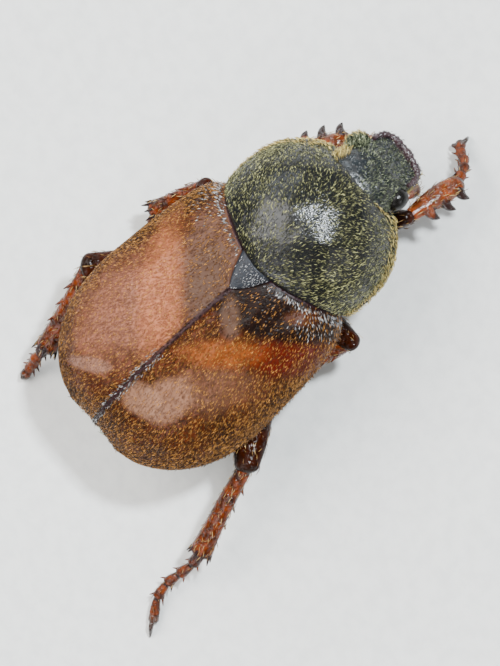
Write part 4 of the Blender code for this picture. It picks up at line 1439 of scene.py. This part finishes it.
@dataclass
class Head:
    """The head with its face, raised clypeus rim, cheeks and hairs.

    Args:
        tilt: how far the face slopes down, in radians.
        look: how far the head looks to the right, in radians.
        origin: the middle of the neck.
        lines: for each section its place along the face, its half width, and how far its
            face and its underside lie out.
    """

    tilt: float = math.radians(46)
    look: float = math.radians(5)
    origin: Point = (0.0, 2.904, 3.019)
    lines: tuple = (
        (-0.35, 0.66, 0.30, -0.72),
        (0.00, 0.78, 0.58, -0.74),
        (0.40, 0.82, 0.70, -0.70),
        (0.80, 0.77, 0.73, -0.60),
        (1.10, 0.69, 0.66, -0.42),
        (1.34, 0.63, 0.60, -0.16),
        (1.52, 0.54, 0.54, 0.08),
        (1.61, 0.42, 0.48, 0.22),
    )
    power: float = 2.5
    rows: int = 80
    sides: int = 96
    rim_radius: float = 0.078
    rim_side: tuple = ((0.62, 1.12, 0.55), (0.61, 1.33, 0.52), (0.51, 1.52, 0.51), (0.28, 1.61, 0.51))
    hair: Tuft = Tuft(0.070, 0.0056, 0.005, 0.34, 0.25, 0.42, 0.45)
    long_hair: Tuft = Tuft(0.26, 0.007, 0.007, 0.7, 0.6, 0.35, 0.35, 0.6)

    def turned(self, points: Array | Sequence) -> Array:
        """Points turned with the head, which looks a little to the right."""
        sine, cosine = math.sin(self.look), math.cos(self.look)
        turn = np.array(((cosine, sine, 0), (-sine, cosine, 0), (0, 0, 1)))
        return (np.asarray(points, float) - self.origin) @ turn.T + self.origin

    def point(self, x: float, along: float, out: float) -> Array:
        """A point given across the face, along it and out of it."""
        forward = np.array((0, math.cos(self.tilt), -math.sin(self.tilt)))
        up = np.array((0, math.sin(self.tilt), math.cos(self.tilt)))
        return self.turned(np.array(self.origin) + np.array((x, 0, 0)) + forward * along + up * out)

    def rings(self) -> Array:
        """Rings of the head, from the neck to the clypeus."""
        turn = np.linspace(0, 2 * math.pi, self.sides, endpoint=False)
        across = np.sign(np.sin(turn)) * np.abs(np.sin(turn)) ** (2 / self.power)
        rise = np.sign(np.cos(turn)) * np.abs(np.cos(turn)) ** (2 / self.power)
        axes = [self.point(*axis) - self.origin for axis in ((1, 0, 0), (0, 1, 0), (0, 0, 1))]
        brows = 0.02 * bump(across, 0.55, 0.2) + 0.02 * bump(across, -0.55, 0.2)
        grid = []
        for along, half, face, under in smooth(self.lines, self.rows):
            square = 1 - 0.55 * ramp(along, 0.85, 0.45)
            out = (face + under) / 2 + (face - under) / 2 * np.sign(rise) * np.abs(rise) ** square
            seam = -0.022 * bump(along, 1.13, 0.035) - 0.045 * bump(along, 1.36, 0.13)
            out = out + (seam + brows * bump(along, 0.72, 0.3)) * np.clip(rise, 0, 1) ** 2
            ring = np.outer(across * half, axes[0]) + along * axes[1] + np.outer(out, axes[2])
            grid.append(np.array(self.origin) + ring)
        return np.array(grid)

    def build(self) -> None:
        """Builds the head and its hairs."""
        rings = self.rings()
        builder = Builder().grid(rings, 0.70 * ramp(np.linspace(0, 1, self.rows), 0.76, 0.10))
        left = [self.point(-x, along, out) for x, along, out in self.rim_side]
        right = [self.point(x, along, out) for x, along, out in self.rim_side[::-1]]
        path = smooth([*left, self.point(0, 1.63, 0.52), *right], 61)
        knobs = 1 + 0.30 * np.sin(np.arange(61) * 1.3) * np.sin(np.arange(61) * 0.7)
        sizes = self.rim_radius * knobs * np.sin(np.linspace(0.25, math.pi - 0.25, 61)) ** 0.35
        rim = sweep(path, sizes, 14, self.point(0, 0, 1) - self.origin)
        builder.grid(rim, 0.60)
        for side in (Side.LEFT.value, Side.RIGHT.value):
            cheek = self.point(side * 0.60, 0.95, 0.10), self.point(side * 0.54, 1.25, 0.28)
            brow = self.point(side * 0.62, 1.04, 0.40), self.point(side * 0.80, 0.92, 0.28)
            builder.grid(limb(*cheek, (0.16, 0.12), rows=12, sides=20))
            builder.grid(limb(*brow, (0.07, 0.045), rows=10, sides=14), 0.5)
        builder.build("head_shell", "head_horn", "head_shell", "head")
        skin = Skin(rings, closed=True)

        def thick(at: Array, u: Array, v: Array) -> Array:
            """Hairs on the face, none on the smooth crescent behind its left side."""
            face = np.where((v < 0.30) | (v > 0.70), 1.0, 0.35)
            band = ramp(u, 0.13 + 0.17 * ramp(-at[:, 0], -0.1, 0.3), 0.06)
            return 1000 * face * band * np.where(u > 0.80, 0.45, 1.0)

        def cheeks(at: Array, u: Array, v: Array) -> Array:
            """Long golden hairs at the neck and on the cheeks below the eyes."""
            neck = 430.0 * (at[:, 0] < -0.5) * (u > 0.18) * (u < 0.31) * (at[:, 2] > 2.6)
            low = ((u > 0.80) | (at[:, 2] < 2.32)) * (at[:, 2] > 2.0)
            return neck + 240.0 * (np.abs(at[:, 0]) > 0.55) * low * (u > 0.2) * (u < 0.95)

        silver = Coat("clypeus_hairs", 45).grow(Skin(rim, closed=True), 260.0, replace(self.hair, lift=0.7))
        gold = Coat("head_fringe", 43)
        gold.grow(skin, cheeks, self.long_hair, lambda at: at * (1, 0, 0) + (0, 0.4, -0.3))
        coat = Coat("head_hairs", 41)
        coat.grow(skin, thick, self.hair, lambda at: at * (0.5, 0, 0) + (0, 0.7, -0.7))
        silver.build("silver_hairs", "head_shell")
        coat.build("head_hairs", "head_shell")
        gold.build("straw_hairs", "head_shell")


@dataclass
class Eyes:
    """The two faceted eyes at the sides of the head."""

    head: Head
    radius: float = 0.24
    place: Point = (0.71, 0.85, 0.32)
    stretch: Point = (0.95, 1.12, 1.0)
    brow: Tuft = Tuft(0.13, 0.009, 0.006, 0.30, 0.25, 0.35, 0.35, 0.6)

    def rings(self, side: Side) -> Array:
        """Rings of one eye."""
        x, along, out = self.place
        center = self.head.point(side.value * x, along, out)
        return ellipsoid(center, self.radius * np.array(self.stretch), 44, 60)

    def build(self) -> None:
        """Builds both eyes and the hairs that hang from the brow over the left one."""
        for side in Side:
            name = f"eye_{side.word}"
            Builder().grid(self.rings(side)).build(f"{name}_facets", "eye_facets", "eye", name, 80)
        skin = Skin(self.rings(Side.LEFT), closed=True)
        x, along, out = self.place
        center = self.head.point(-x, along, out)

        def edge(at: Array, u: Array, v: Array) -> Array:
            """Golden hairs that stand out beyond the short dark ones."""
            return 520.0 * (np.abs(at[:, 2] - center[2] - 0.10) < 0.09) * (at[:, 0] < center[0] + 0.05)

        def outward(at: Array) -> Array:
            """Outward and a little forward."""
            return at * 0 + (-1.0, 0.45, -0.2)

        # Short dark hairs on the top of the eye, which the brow covers.
        coat = Coat("brow_hairs", 47)
        coat.grow(skin, lambda at, u, v: 4200.0 * (at[:, 2] - center[2] > 0.02), self.brow, outward)
        coat.build("head_hairs", "head_shell")
        coat = Coat("brow_fringe", 48)
        coat.grow(skin, edge, replace(self.brow, length=0.20, width=0.007), outward)
        coat.build("straw_hairs", "head_shell")


@dataclass
class Antennae:
    """The feelers: a thick first joint, a beaded stalk and a club of three blades."""

    head: Head
    stalk: tuple = ((0.56, 3.70, 2.14), (0.69, 3.78, 2.04), (0.73, 3.84, 1.88), (0.71, 3.87, 1.72))
    club_end: Point = (0.56, 3.88, 1.36)
    blade: tuple = (0.045, 0.085, 0.09, 0.055)
    joints: int = 7
    half: float = 0.085
    hair: Tuft = Tuft(0.12, 0.006, 0.006, 0.9, 0.3, 0.5, 0.4, 0.6)

    def build(self) -> None:
        """Builds both feelers."""
        share = np.linspace(0, self.joints, self.joints * 9 + 1)
        sizes = self.half * beads(share, 0.74) * (1 + 0.75 * ramp(-share, -1.3, 1.3))
        for side in Side:
            flip = np.array((side.value, 1, 1))
            line = smooth(self.head.turned(self.stalk * flip), len(share))
            stalk = sweep(line, sizes, 18)
            builder = Builder().grid(stalk, 0.15)
            skins = [Skin(stalk, closed=True, cell=(0, 0, 2))]
            start, end = line[-1], self.head.turned(self.club_end * flip)
            aside, _ = axes_along(end - start, (0, 1, 0))
            for number, blade in enumerate((-1, 0, 1), 1):
                root, tip = start + aside * blade * 0.035, end + aside * blade * 0.11
                grid = limb(root, tip, self.blade, aside, 1.9, 20, 20)
                builder.grid(grid, 0.62)
                skins.append(Skin(grid, closed=True, cell=(number % 2, number // 2, 2)))
            builder.build(f"feeler_{side.word}", "feeler_horn", "antenna", f"antenna_{side.word}")
            coat = Coat(f"feeler_{side.word}_hairs", 51 + side.value)
            for skin in skins:
                coat.grow(skin, 90.0, self.hair)
            coat.build("gold_hairs", "antenna")


@dataclass
class Mouthparts:
    """Upper lip, jaws and two pairs of palps below the clypeus.

    Args:
        head: the head that they hang on.
        lumps: the middles and radii of the lip, the jaws and the chin.
        palps: the path, the half width and the number of joints of each palp of a side.
        hair: the bristles.
    """

    head: Head
    lumps: tuple = (
        ((0, 3.62, 1.78), (0.44, 0.34, 0.34)),
        ((0, 3.90, 1.86), (0.33, 0.13, 0.15)),
        ((0.24, 3.80, 1.72), (0.16, 0.20, 0.17)),
        ((-0.24, 3.80, 1.72), (0.16, 0.20, 0.17)),
        ((0, 3.72, 1.58), (0.17, 0.20, 0.16)),
    )
    palps: tuple = (
        (((0.20, 3.76, 1.62), (0.26, 3.98, 1.46), (0.26, 4.12, 1.28), (0.20, 4.16, 1.10)), 0.085, 4),
        (((0.12, 3.66, 1.52), (0.16, 3.74, 1.34), (0.14, 3.80, 1.20)), 0.065, 3),
    )
    hair: Tuft = Tuft(0.16, 0.007, 0.007, 0.8, 0.3, 0.5, 0.4, 0.6)

    def build(self) -> None:
        """Builds the mouthparts and their bristles."""
        builder = Builder()
        coat = Coat("mouthparts_bristles", 61)

        def below(at: Array, u: Array, v: Array) -> Array:
            """Bristles below the lip only."""
            return 60.0 * (at[:, 2] < 1.8)

        for number, (center, radii) in enumerate(self.lumps):
            grid = ellipsoid(self.head.turned(center), radii, 22, 28)
            builder.grid(grid, 0.25 + 0.1 * number)
            skin = Skin(grid, closed=True, cell=(number % 3, number // 3, 3))
            coat.grow(skin, below, self.hair, lambda at: at * 0 + (0, 0.6, -0.8))
        for side in Side:
            for path, half, joints in self.palps:
                share = np.linspace(0, joints, joints * 9 + 1)
                line = smooth(self.head.turned(np.array(path) * (side.value, 1, 1)), len(share))
                sizes = half * beads(share, 0.72)
                sizes[-4:] *= (0.85, 0.7, 0.5, 0.25)
                builder.grid(sweep(line, sizes, 14), 0.8 * bump(share % 1, 0.0, 0.15))
        builder.build("mouthparts_shell", "mouth_horn", "mouthparts", "mouthparts")
        coat.build("gold_hairs", "mouthparts")


@dataclass
class Underside:
    """Breast, belly and tail plate, with their round scales."""

    thorax: TrunkShape = TrunkShape(
        (
            (0.60, 1.06, 0.66, 1.66, 3.60, 2.55, 1.33),
            (0.25, 0.62, 0.30, 2.00, 3.62, 2.48, 1.12),
            (-0.45, -0.35, -0.45, 2.18, 3.66, 2.40, 1.03),
            (-1.22, -1.22, -1.22, 2.27, 3.62, 2.34, 1.06),
        )
    )
    abdomen: TrunkShape = TrunkShape(
        (
            (-1.20, -1.20, -1.20, 2.26, 3.55, 2.34, 1.08),
            (-2.05, -2.05, -2.05, 2.30, 3.50, 2.30, 1.08),
            (-2.80, -2.80, -2.80, 2.20, 3.35, 2.28, 1.14),
            (-3.45, -3.45, -3.40, 1.95, 3.10, 2.28, 1.28),
            (-4.02, -4.02, -3.90, 1.54, 2.70, 2.28, 1.48),
        )
    )
    tail: TrunkShape = TrunkShape(
        (
            (-4.00, -4.00, -3.90, 1.42, 2.62, 2.20, 1.50),
            (-4.22, -4.20, -4.08, 1.28, 2.50, 2.14, 1.50),
            (-4.36, -4.32, -4.20, 1.06, 2.38, 2.10, 1.56),
            (-4.47, -4.42, -4.34, 0.74, 2.26, 2.06, 1.68),
            (-4.54, -4.50, -4.46, 0.30, 2.14, 2.03, 1.82),
        )
    )
    belly_rings: int = 5
    sides: int = 84
    scale: Tuft = Tuft(0.10, 0.030, 0.008, 0.22, 0.10, 0.3, 0.25, 1.0)
    hair: Tuft = Tuft(0.22, 0.009, 0.009, 0.7, 0.4, 0.4, 0.35, 0.6)

    def belly_swell(self, share: float) -> float:
        """Each belly plate swells towards its hind edge and steps in behind it."""
        within = (share * self.belly_rings) % 1.0
        return 1.0 + 0.035 * within**2 - 0.02 * (within < 0.08)

    def build(self) -> None:
        """Builds the three pieces and their scales, which the wing covers leave bare."""
        self.piece("thorax", "thorax", "underside", self.thorax.rings(30, self.sides), 2.45, 71)
        belly = self.abdomen.rings(90, self.sides, self.belly_swell)
        self.piece("abdomen", "abdomen", "underside", belly, 2.45, 72)
        self.piece("tail_plate", "pygidium", "tail_plate", self.tail.rings(26, self.sides), 2.6, 73)

    def piece(self, name: str, node: str, slot: str, rings: Array, top: float, seed: int) -> None:
        """Builds one piece.

        Args:
            name: start of its name.
            node: the node that it replaces.
            slot: the record's material slot.
            rings: its grid.
            top: height up to which the scales grow.
            seed: seed of its coat.
        """
        Builder().grid(rings).build(f"{name}_shell", "belly_horn", slot, node, 70)
        skin = Skin(rings, closed=True)
        coat = Coat(f"{name}_scales", seed)
        coat.grow(skin, lambda at, u, v: 230.0 * (at[:, 2] < top) * (u < 0.99), self.scale)
        coat.grow(skin, lambda at, u, v: 26.0 * (at[:, 2] < 2.4), self.hair)
        coat.build("belly_scales", slot)


@dataclass(frozen=True)
class PairSizes:
    """Half widths of the segments of one pair of legs, and the lengths of its claws."""

    coxa: float
    femur: tuple
    femur_flat: float
    tibia: tuple
    tibia_flat: float
    tarsus: float
    claws: tuple


FRONT_SIZES = PairSizes(
    0.29, (0.17, 0.25, 0.27, 0.25, 0.18), 0.9, (0.14, 0.18, 0.22, 0.24, 0.21), 0.75, 0.135, (1.0, 0.55)
)
MIDDLE_SIZES = PairSizes(
    0.30, (0.18, 0.25, 0.27, 0.24, 0.18), 1.15, (0.14, 0.18, 0.20, 0.21, 0.23), 0.88, 0.135, (1.0, 0.62)
)
HIND_SIZES = PairSizes(
    0.33, (0.20, 0.29, 0.31, 0.29, 0.21), 1.32, (0.15, 0.18, 0.195, 0.21, 0.25), 0.90, 0.140, (1.0,)
)
PAIR_SIZES = {Pair.FRONT: FRONT_SIZES, Pair.MIDDLE: MIDDLE_SIZES, Pair.HIND: HIND_SIZES}


@dataclass
class Leg:
    """One leg with its five pieces and its bristles.

    Args:
        pair: which pair it belongs to.
        side: which side of the body.
        hip: top of the coxa.
        trochanter: where the femur starts.
        knee: where the tibia starts.
        ankle: where the tarsus starts.
        toes: ends of the tarsus joints.
        claw_tip: point of the longest claw.
        teeth: place along the front tibia and size of each tooth.
        tooth_reach: how far a tooth stands out and how far it leans forward.
        crown: spines round the end of the other tibiae.
        bristle: the bristles.
    """

    pair: Pair
    side: Side
    hip: Point
    trochanter: Point
    knee: Point
    ankle: Point
    toes: tuple
    claw_tip: Point
    teeth: tuple = ((0.36, 1.0), (0.66, 1.1), (0.97, 1.0))
    tooth_reach: tuple = (0.35, 0.10)
    crown: int = 9
    bristle: Tuft = Tuft(0.15, 0.0075, 0.0068, 0.42, 0.25, 0.35, 0.4, 0.65)

    def __post_init__(self) -> None:
        """Starts the coat and names the leg and its sizes."""
        self.name = f"leg_{self.pair.value}_{self.side.word}"
        self.sizes = PAIR_SIZES[self.pair]
        seed = 100 + 10 * list(Pair).index(self.pair) + self.side.value
        self.coat = Coat(f"{self.name}_bristles", seed)

    def finish(self, builder: Builder, part: str, finish: str, slot: str) -> None:
        """Builds one piece that stands for its node."""
        builder.build(f"{self.name}_{part}_shell", finish, slot, f"{self.name}_{part}")

    def grow(self, grid: Array, column: int, density: float, tuft: Tuft) -> None:
        """Grows bristles on a segment, whose ends stay bare."""
        skin = Skin(grid, closed=True, cell=(column, 0, 3))
        self.coat.grow(skin, lambda at, u, v: density * ((u > 0.12) & (u < 0.9)), tuft)

    def upper(self) -> None:
        """Builds the coxa and the femur."""
        half = self.sizes.coxa
        grid = limb(self.hip, self.trochanter, (half, half, half * 0.85), rows=16)
        self.finish(Builder().grid(grid, end_marks(grid, 0.2, 0.7)), "coxa", "hip_horn", "leg_dark")
        start, end = np.array(self.trochanter), np.array(self.knee)
        flat = self.sizes.femur_flat
        grid = limb(start, end, self.sizes.femur, flat=flat, rows=30, sides=28, bow=(0, 0, 0.03))
        builder = Builder().grid(grid, end_marks(grid, 0.8, 0.9 if self.pair is Pair.HIND else 0.35))
        ring = start + (end - start) * -0.02, start + (end - start) * 0.16
        builder.grid(limb(*ring, (0.15, 0.19, 0.15), rows=10), 0.5)
        self.finish(builder, "femur", "femur_horn", "femur")
        self.grow(grid, 0, 34, self.bristle)

    def lower(self) -> None:
        """Builds the tibia with its teeth or its crown of spines."""
        knee, ankle = np.array(self.knee), np.array(self.ankle)
        along = unit(ankle - knee)
        out, other = axes_along(along, (self.side.value, 0, 0))
        flat = self.sizes.tibia_flat
        grid = limb(knee, ankle, self.sizes.tibia, out, flat, 34, 32, out * -0.02, 0.012)
        builder = Builder().grid(grid, end_marks(grid, 0.9, 0.95))
        if self.pair is Pair.FRONT:
            self.toothed(builder, knee, ankle, out)
        else:
            for number in range(self.crown):
                turn = 2 * math.pi * (number + 0.3) / self.crown
                outward = out * math.cos(turn) + other * math.sin(turn) * flat
                root = ankle + outward * self.sizes.tibia[-1] * 0.80 - along * 0.04
                reach = 0.24 * (1.15 - 0.35 * (number % 2))
                builder.grid(thorn(root, root + along * reach + outward * 0.09, 0.042), 0.80)
            for place in (0.28, 0.48, 0.68):
                for turn in (-0.7, 0.7):
                    outward = unit(out * math.cos(turn) + other * math.sin(turn))
                    root = knee + (ankle - knee) * (place + 0.03 * turn)
                    root = root + outward * self.sizes.tibia[2] * 0.75
                    builder.grid(thorn(root, root + along * 0.17 + outward * 0.12, 0.036), 0.45)
        horn = "front_tibia_horn" if self.pair is Pair.FRONT else "tibia_horn"
        self.finish(builder, "tibia", horn, "leg_red")
        self.grow(grid, 1, 75, self.bristle)

    def toothed(self, builder: Builder, knee: Array, ankle: Array, out: Array) -> None:
        """Adds the teeth and the spur of a front tibia."""
        along = unit(ankle - knee)
        for number, (place, size) in enumerate(self.teeth):
            root = knee + (ankle - knee) * place + out * 0.06
            tip = root + out * self.tooth_reach[0] * size + along * self.tooth_reach[1] * size
            dark = np.minimum(0.20 + 0.26 * number + 0.9 * np.linspace(0, 1, 11), 1)
            builder.grid(thorn(root, tip, 0.15, out * 0.04 - along * 0.04, 14), dark)
        root = ankle - out * 0.12 - along * 0.12
        builder.grid(thorn(root, root + along * 0.30 - out * 0.10, 0.045), 0.8)

    def foot(self) -> None:
        """Builds the tarsus joints, with spines at the end of each, and the claws."""
        joints = np.array([self.ankle, *self.toes])
        tip, half = np.array(self.claw_tip), self.sizes.tarsus
        run = np.vstack([joints, joints[-1] + (tip - joints[-1]) * 0.45])
        count = len(run) - 1
        fine = smooth(run, 40 * count + 1)
        path, sizes, dark = [], [], []
        for i in range(count):
            for share in np.linspace(0.02, 0.98, 14):
                flare = 0.60 + 0.40 * min(share / 0.82, 1) ** 0.8
                closing = max(share - 0.88, 0) / 0.12
                path.append(fine[round((i + share) * 40)])
                sizes.append(half * (1 - 0.18 * i / (count - 1)) * flare * (1 - 0.45 * closing**2))
                heel = 0.6 * (i == 0 and self.pair is Pair.HIND)
                dark.append(max(0.9 * (1 - share / 0.25), 0.75 * (share - 0.7) / 0.3, heel))
        grid = sweep(path, sizes, 18)
        builder = Builder().grid(grid, dark)
        for last, end in zip(run, run[1:-1]):
            along = unit(end - last)
            aside, down = axes_along(along, (1, 0, 0))
            down = -down if down[2] > 0 else down
            for turn in (-1.0, -0.35, 0.35, 1.0):
                outward = unit(aside * turn + down * (1.15 - abs(turn)))
                root = end - along * 0.09 + outward * half * 0.55
                point = root + along * 0.16 + outward * 0.12
                point[2] = max(point[2], 0.02)
                builder.grid(thorn(root, point, 0.026), 0.35)
        self.finish(builder, "tarsus", "tarsus_horn", "tarsus")
        self.grow(grid, 2, 35, replace(self.bristle, length=0.12))
        self.claws(joints[-1], tip)

    def claws(self, last: Array, tip: Array) -> None:
        """Builds the claws, which rest on the floor.

        Args:
            last: end of the last tarsus joint.
            tip: point of the longest claw.
        """
        start = last + (tip - last) * 0.46
        along = unit((tip - start) * (1, 1, 0))
        aside = np.array((-along[1], along[0], 0))
        reach = np.linalg.norm((tip - start)[:2])
        knuckle = limb(start, start + (tip - start) * 0.14, (0.115, 0.12), rows=8, sides=18)
        builder = Builder().grid(knuckle, 0.5)
        for number, length in enumerate(self.sizes.claws):
            turn = 0 if len(self.sizes.claws) == 1 else (-1, 1)[number] * self.side.value
            points = []
            for share, out in ((0.0, 0.0), (0.25, 0.4), (0.5, 0.8), (0.75, 1.0), (1.0, 1.1)):
                place = start + along * reach * share * length + aside * turn * 0.16 * out
                place[2] = start[2] * (1 - share) ** 1.3 + 0.10 * math.sin(math.pi * share) ** 2 + 0.035
                points.append(place)
            path, share = smooth(points, 26), np.linspace(0, 1, 26)
            sizes = 0.085 * (1 - share) ** 0.6 + 0.014
            path[:, 2] = np.maximum(path[:, 2], sizes + 0.001)
            builder.grid(sweep(path, sizes, 14, flat=0.75), 0.4 + 0.6 * share)
        self.finish(builder, "claws", "claw_horn", "claw")

    def build(self) -> None:
        """Builds every piece of the leg."""
        self.upper()
        self.lower()
        self.foot()
        self.coat.build("gold_hairs", "leg_red")


LEGS = (
    Leg(
        Pair.FRONT, Side.RIGHT,
        (0.42, 2.25, 1.42), (0.62, 2.52, 1.08), (1.13, 3.43, 1.86), (1.22, 4.55, 1.20),
        ((1.09, 4.74, 0.96), (0.98, 4.86, 0.74), (0.82, 4.92, 0.54), (0.64, 4.94, 0.36)),
        (0.42, 5.04, 0.02),
    ),
    Leg(
        Pair.FRONT, Side.LEFT,
        (-0.42, 2.25, 1.42), (-0.64, 2.50, 1.08), (-1.63, 2.30, 1.66), (-1.08, 3.32, 1.10),
        ((-0.95, 3.52, 0.86), (-0.85, 3.63, 0.64), (-0.75, 3.69, 0.44), (-0.65, 3.70, 0.26)),
        (-0.45, 3.66, 0.02),
    ),
    Leg(
        Pair.MIDDLE, Side.RIGHT,
        (0.55, 0.52, 1.18), (0.95, 0.36, 0.98), (2.30, 0.74, 1.76), (1.82, -0.52, 1.00),
        ((1.80, -0.86, 0.80), (1.81, -1.16, 0.61), (1.82, -1.44, 0.44), (1.82, -1.72, 0.30)),
        (1.80, -2.20, 0.02),
    ),
    Leg(
        Pair.MIDDLE, Side.LEFT,
        (-0.55, 0.52, 1.18), (-0.95, 0.36, 0.98), (-2.30, 0.52, 1.78), (-2.68, -0.74, 1.10),
        ((-2.56, -1.05, 0.86), (-2.42, -1.32, 0.66), (-2.29, -1.57, 0.47), (-2.18, -1.83, 0.31)),
        (-2.04, -2.26, 0.02),
    ),
    Leg(
        Pair.HIND, Side.RIGHT,
        (0.60, -0.82, 1.12), (1.14, -1.08, 0.96), (2.76, -2.70, 1.84), (3.36, -4.83, 0.95),
        ((3.43, -5.26, 0.72), (3.38, -5.66, 0.52), (3.34, -6.03, 0.38), (3.42, -6.42, 0.28)),
        (3.92, -7.16, 0.02),
    ),
    Leg(
        Pair.HIND, Side.LEFT,
        (-0.60, -0.82, 1.12), (-1.12, -1.10, 0.96), (-2.68, -2.50, 1.86), (-2.12, -4.49, 0.98),
        ((-2.12, -4.78, 0.76), (-2.12, -5.00, 0.58), (-2.09, -5.15, 0.42), (-2.10, -5.30, 0.28)),
        (-2.06, -5.62, 0.02),
    ),
)


@dataclass
class Studio:
    """Floor, lights and the camera at the photo's viewing angle."""

    toward: Point = (0.11924, 0.20643, 0.97117)
    image_up: Point = (-0.75444, 0.65472, -0.04653)
    pixels_to_mm: float = 47.5
    image_width: int = 500
    image_height: int = 666
    anchor: Point = (0.0, 0.0, 4.05)
    anchor_pixel: tuple[float, float] = (231.0, 288.0)
    distance_mm: float = 300.0
    sensor: float = 24.0
    floor_reach: float = 0.6
    lamps: tuple = (
        ("key_light", (-0.133, -0.044, 0.2425), (0.21, 0.21), 1.50, (1.0, 0.98, 0.95)),
        ("rear_light", (0.067, -0.185, 0.154), (0.13, 0.13), 0.42, (0.98, 0.98, 1.0)),
        ("top_light", (0.018, 0.132, 0.211), (0.020, 0.020), 1.45, (0.88, 0.95, 1.0)),
        ("side_light", (-0.240, 0.075, 0.132), (0.30, 0.07), 0.60, (0.88, 0.94, 1.0)),
        ("fill_light", (0.26, 0.06, 0.14), (0.10, 0.10), 0.20, (0.98, 0.98, 1.0)),
    )

    def floor(self) -> None:
        """Adds the flat floor."""
        reach = self.floor_reach
        mesh = bpy.data.meshes.new("floor")
        corners = [(-reach, -reach, 0), (reach, -reach, 0), (reach, reach, 0), (-reach, reach, 0)]
        mesh.from_pydata(corners, [], [(0, 1, 2, 3)])
        mesh.materials.append(material("pale_floor"))
        made = bpy.data.objects.new("floor", mesh)
        bpy.context.scene.collection.objects.link(made)
        made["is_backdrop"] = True

    def light(self, name: str, place: Point, size: tuple[float, float], watts: float, color: Color) -> None:
        """Adds one soft light that faces the beetle.

        Args:
            name: its name.
            place: its place in metres.
            size: its two sides in metres.
            watts: its power.
            color: its colour.
        """
        data = bpy.data.lights.new(name, "AREA")
        data.shape = "RECTANGLE"
        data.size, data.size_y = size
        data.energy = watts
        data.color = color
        made = bpy.data.objects.new(name, data)
        made.location = place
        made.rotation_mode = "QUATERNION"
        made.rotation_quaternion = (Vector((0, 0, 0.003)) - Vector(place)).to_track_quat("-Z", "Y")
        made.visible_camera = False
        bpy.context.scene.collection.objects.link(made)

    def lights(self) -> None:
        """Adds the soft lights and an even pale sky."""
        for lamp in self.lamps:
            self.light(*lamp)
        world = bpy.data.worlds.new("pale_sky")
        world.use_nodes = True
        sky = world.node_tree.nodes["Background"]
        sky.inputs["Color"].default_value = (0.84, 0.84, 0.82, 1)
        sky.inputs["Strength"].default_value = 0.05
        bpy.context.scene.world = world

    def camera(self) -> None:
        """Adds the camera, which sees the beetle as the photo does."""
        back = Vector(self.toward).normalized()
        up = Vector(self.image_up).normalized()
        right = up.cross(back).normalized()
        aside = (self.image_width / 2 - self.anchor_pixel[0]) / self.pixels_to_mm
        down = (self.image_height / 2 - self.anchor_pixel[1]) / self.pixels_to_mm
        middle = Vector(self.anchor) + right * aside - up * down
        data = bpy.data.cameras.new("photo_camera")
        data.sensor_fit = "HORIZONTAL"
        data.sensor_width = self.sensor
        data.lens = self.sensor * self.distance_mm / (self.image_width / self.pixels_to_mm)
        data.clip_start, data.clip_end = 0.01, 10.0
        made = bpy.data.objects.new("photo_camera", data)
        place = Vector(to_frame(np.array(middle + back * self.distance_mm)))
        turn = Matrix((right, up, back)).transposed()
        made.matrix_world = Matrix.Translation(place) @ turn.to_4x4()
        bpy.context.scene.collection.objects.link(made)
        bpy.context.scene.camera = made

    def build(self) -> None:
        """Builds the stage."""
        self.floor()
        self.lights()
        self.camera()


def main() -> None:
    """Builds the beetle piece by piece, then its stage."""
    logging.basicConfig(level=logging.INFO, format="%(message)s")
    head = Head()
    body = [WingCovers(), Scutellum(), Pronotum(), head, Eyes(head), Antennae(head), Mouthparts(head)]
    for assembly in [*body, Underside(), *LEGS, Studio()]:
        LOG.info("building %s", type(assembly).__name__)
        assembly.build()
    boxes = {"cad": CAD_BOX, "scene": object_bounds()}
    {name: [list(corner) for corner in box] for name, box in boxes.items()}


if __name__ == "__main__":
    main()
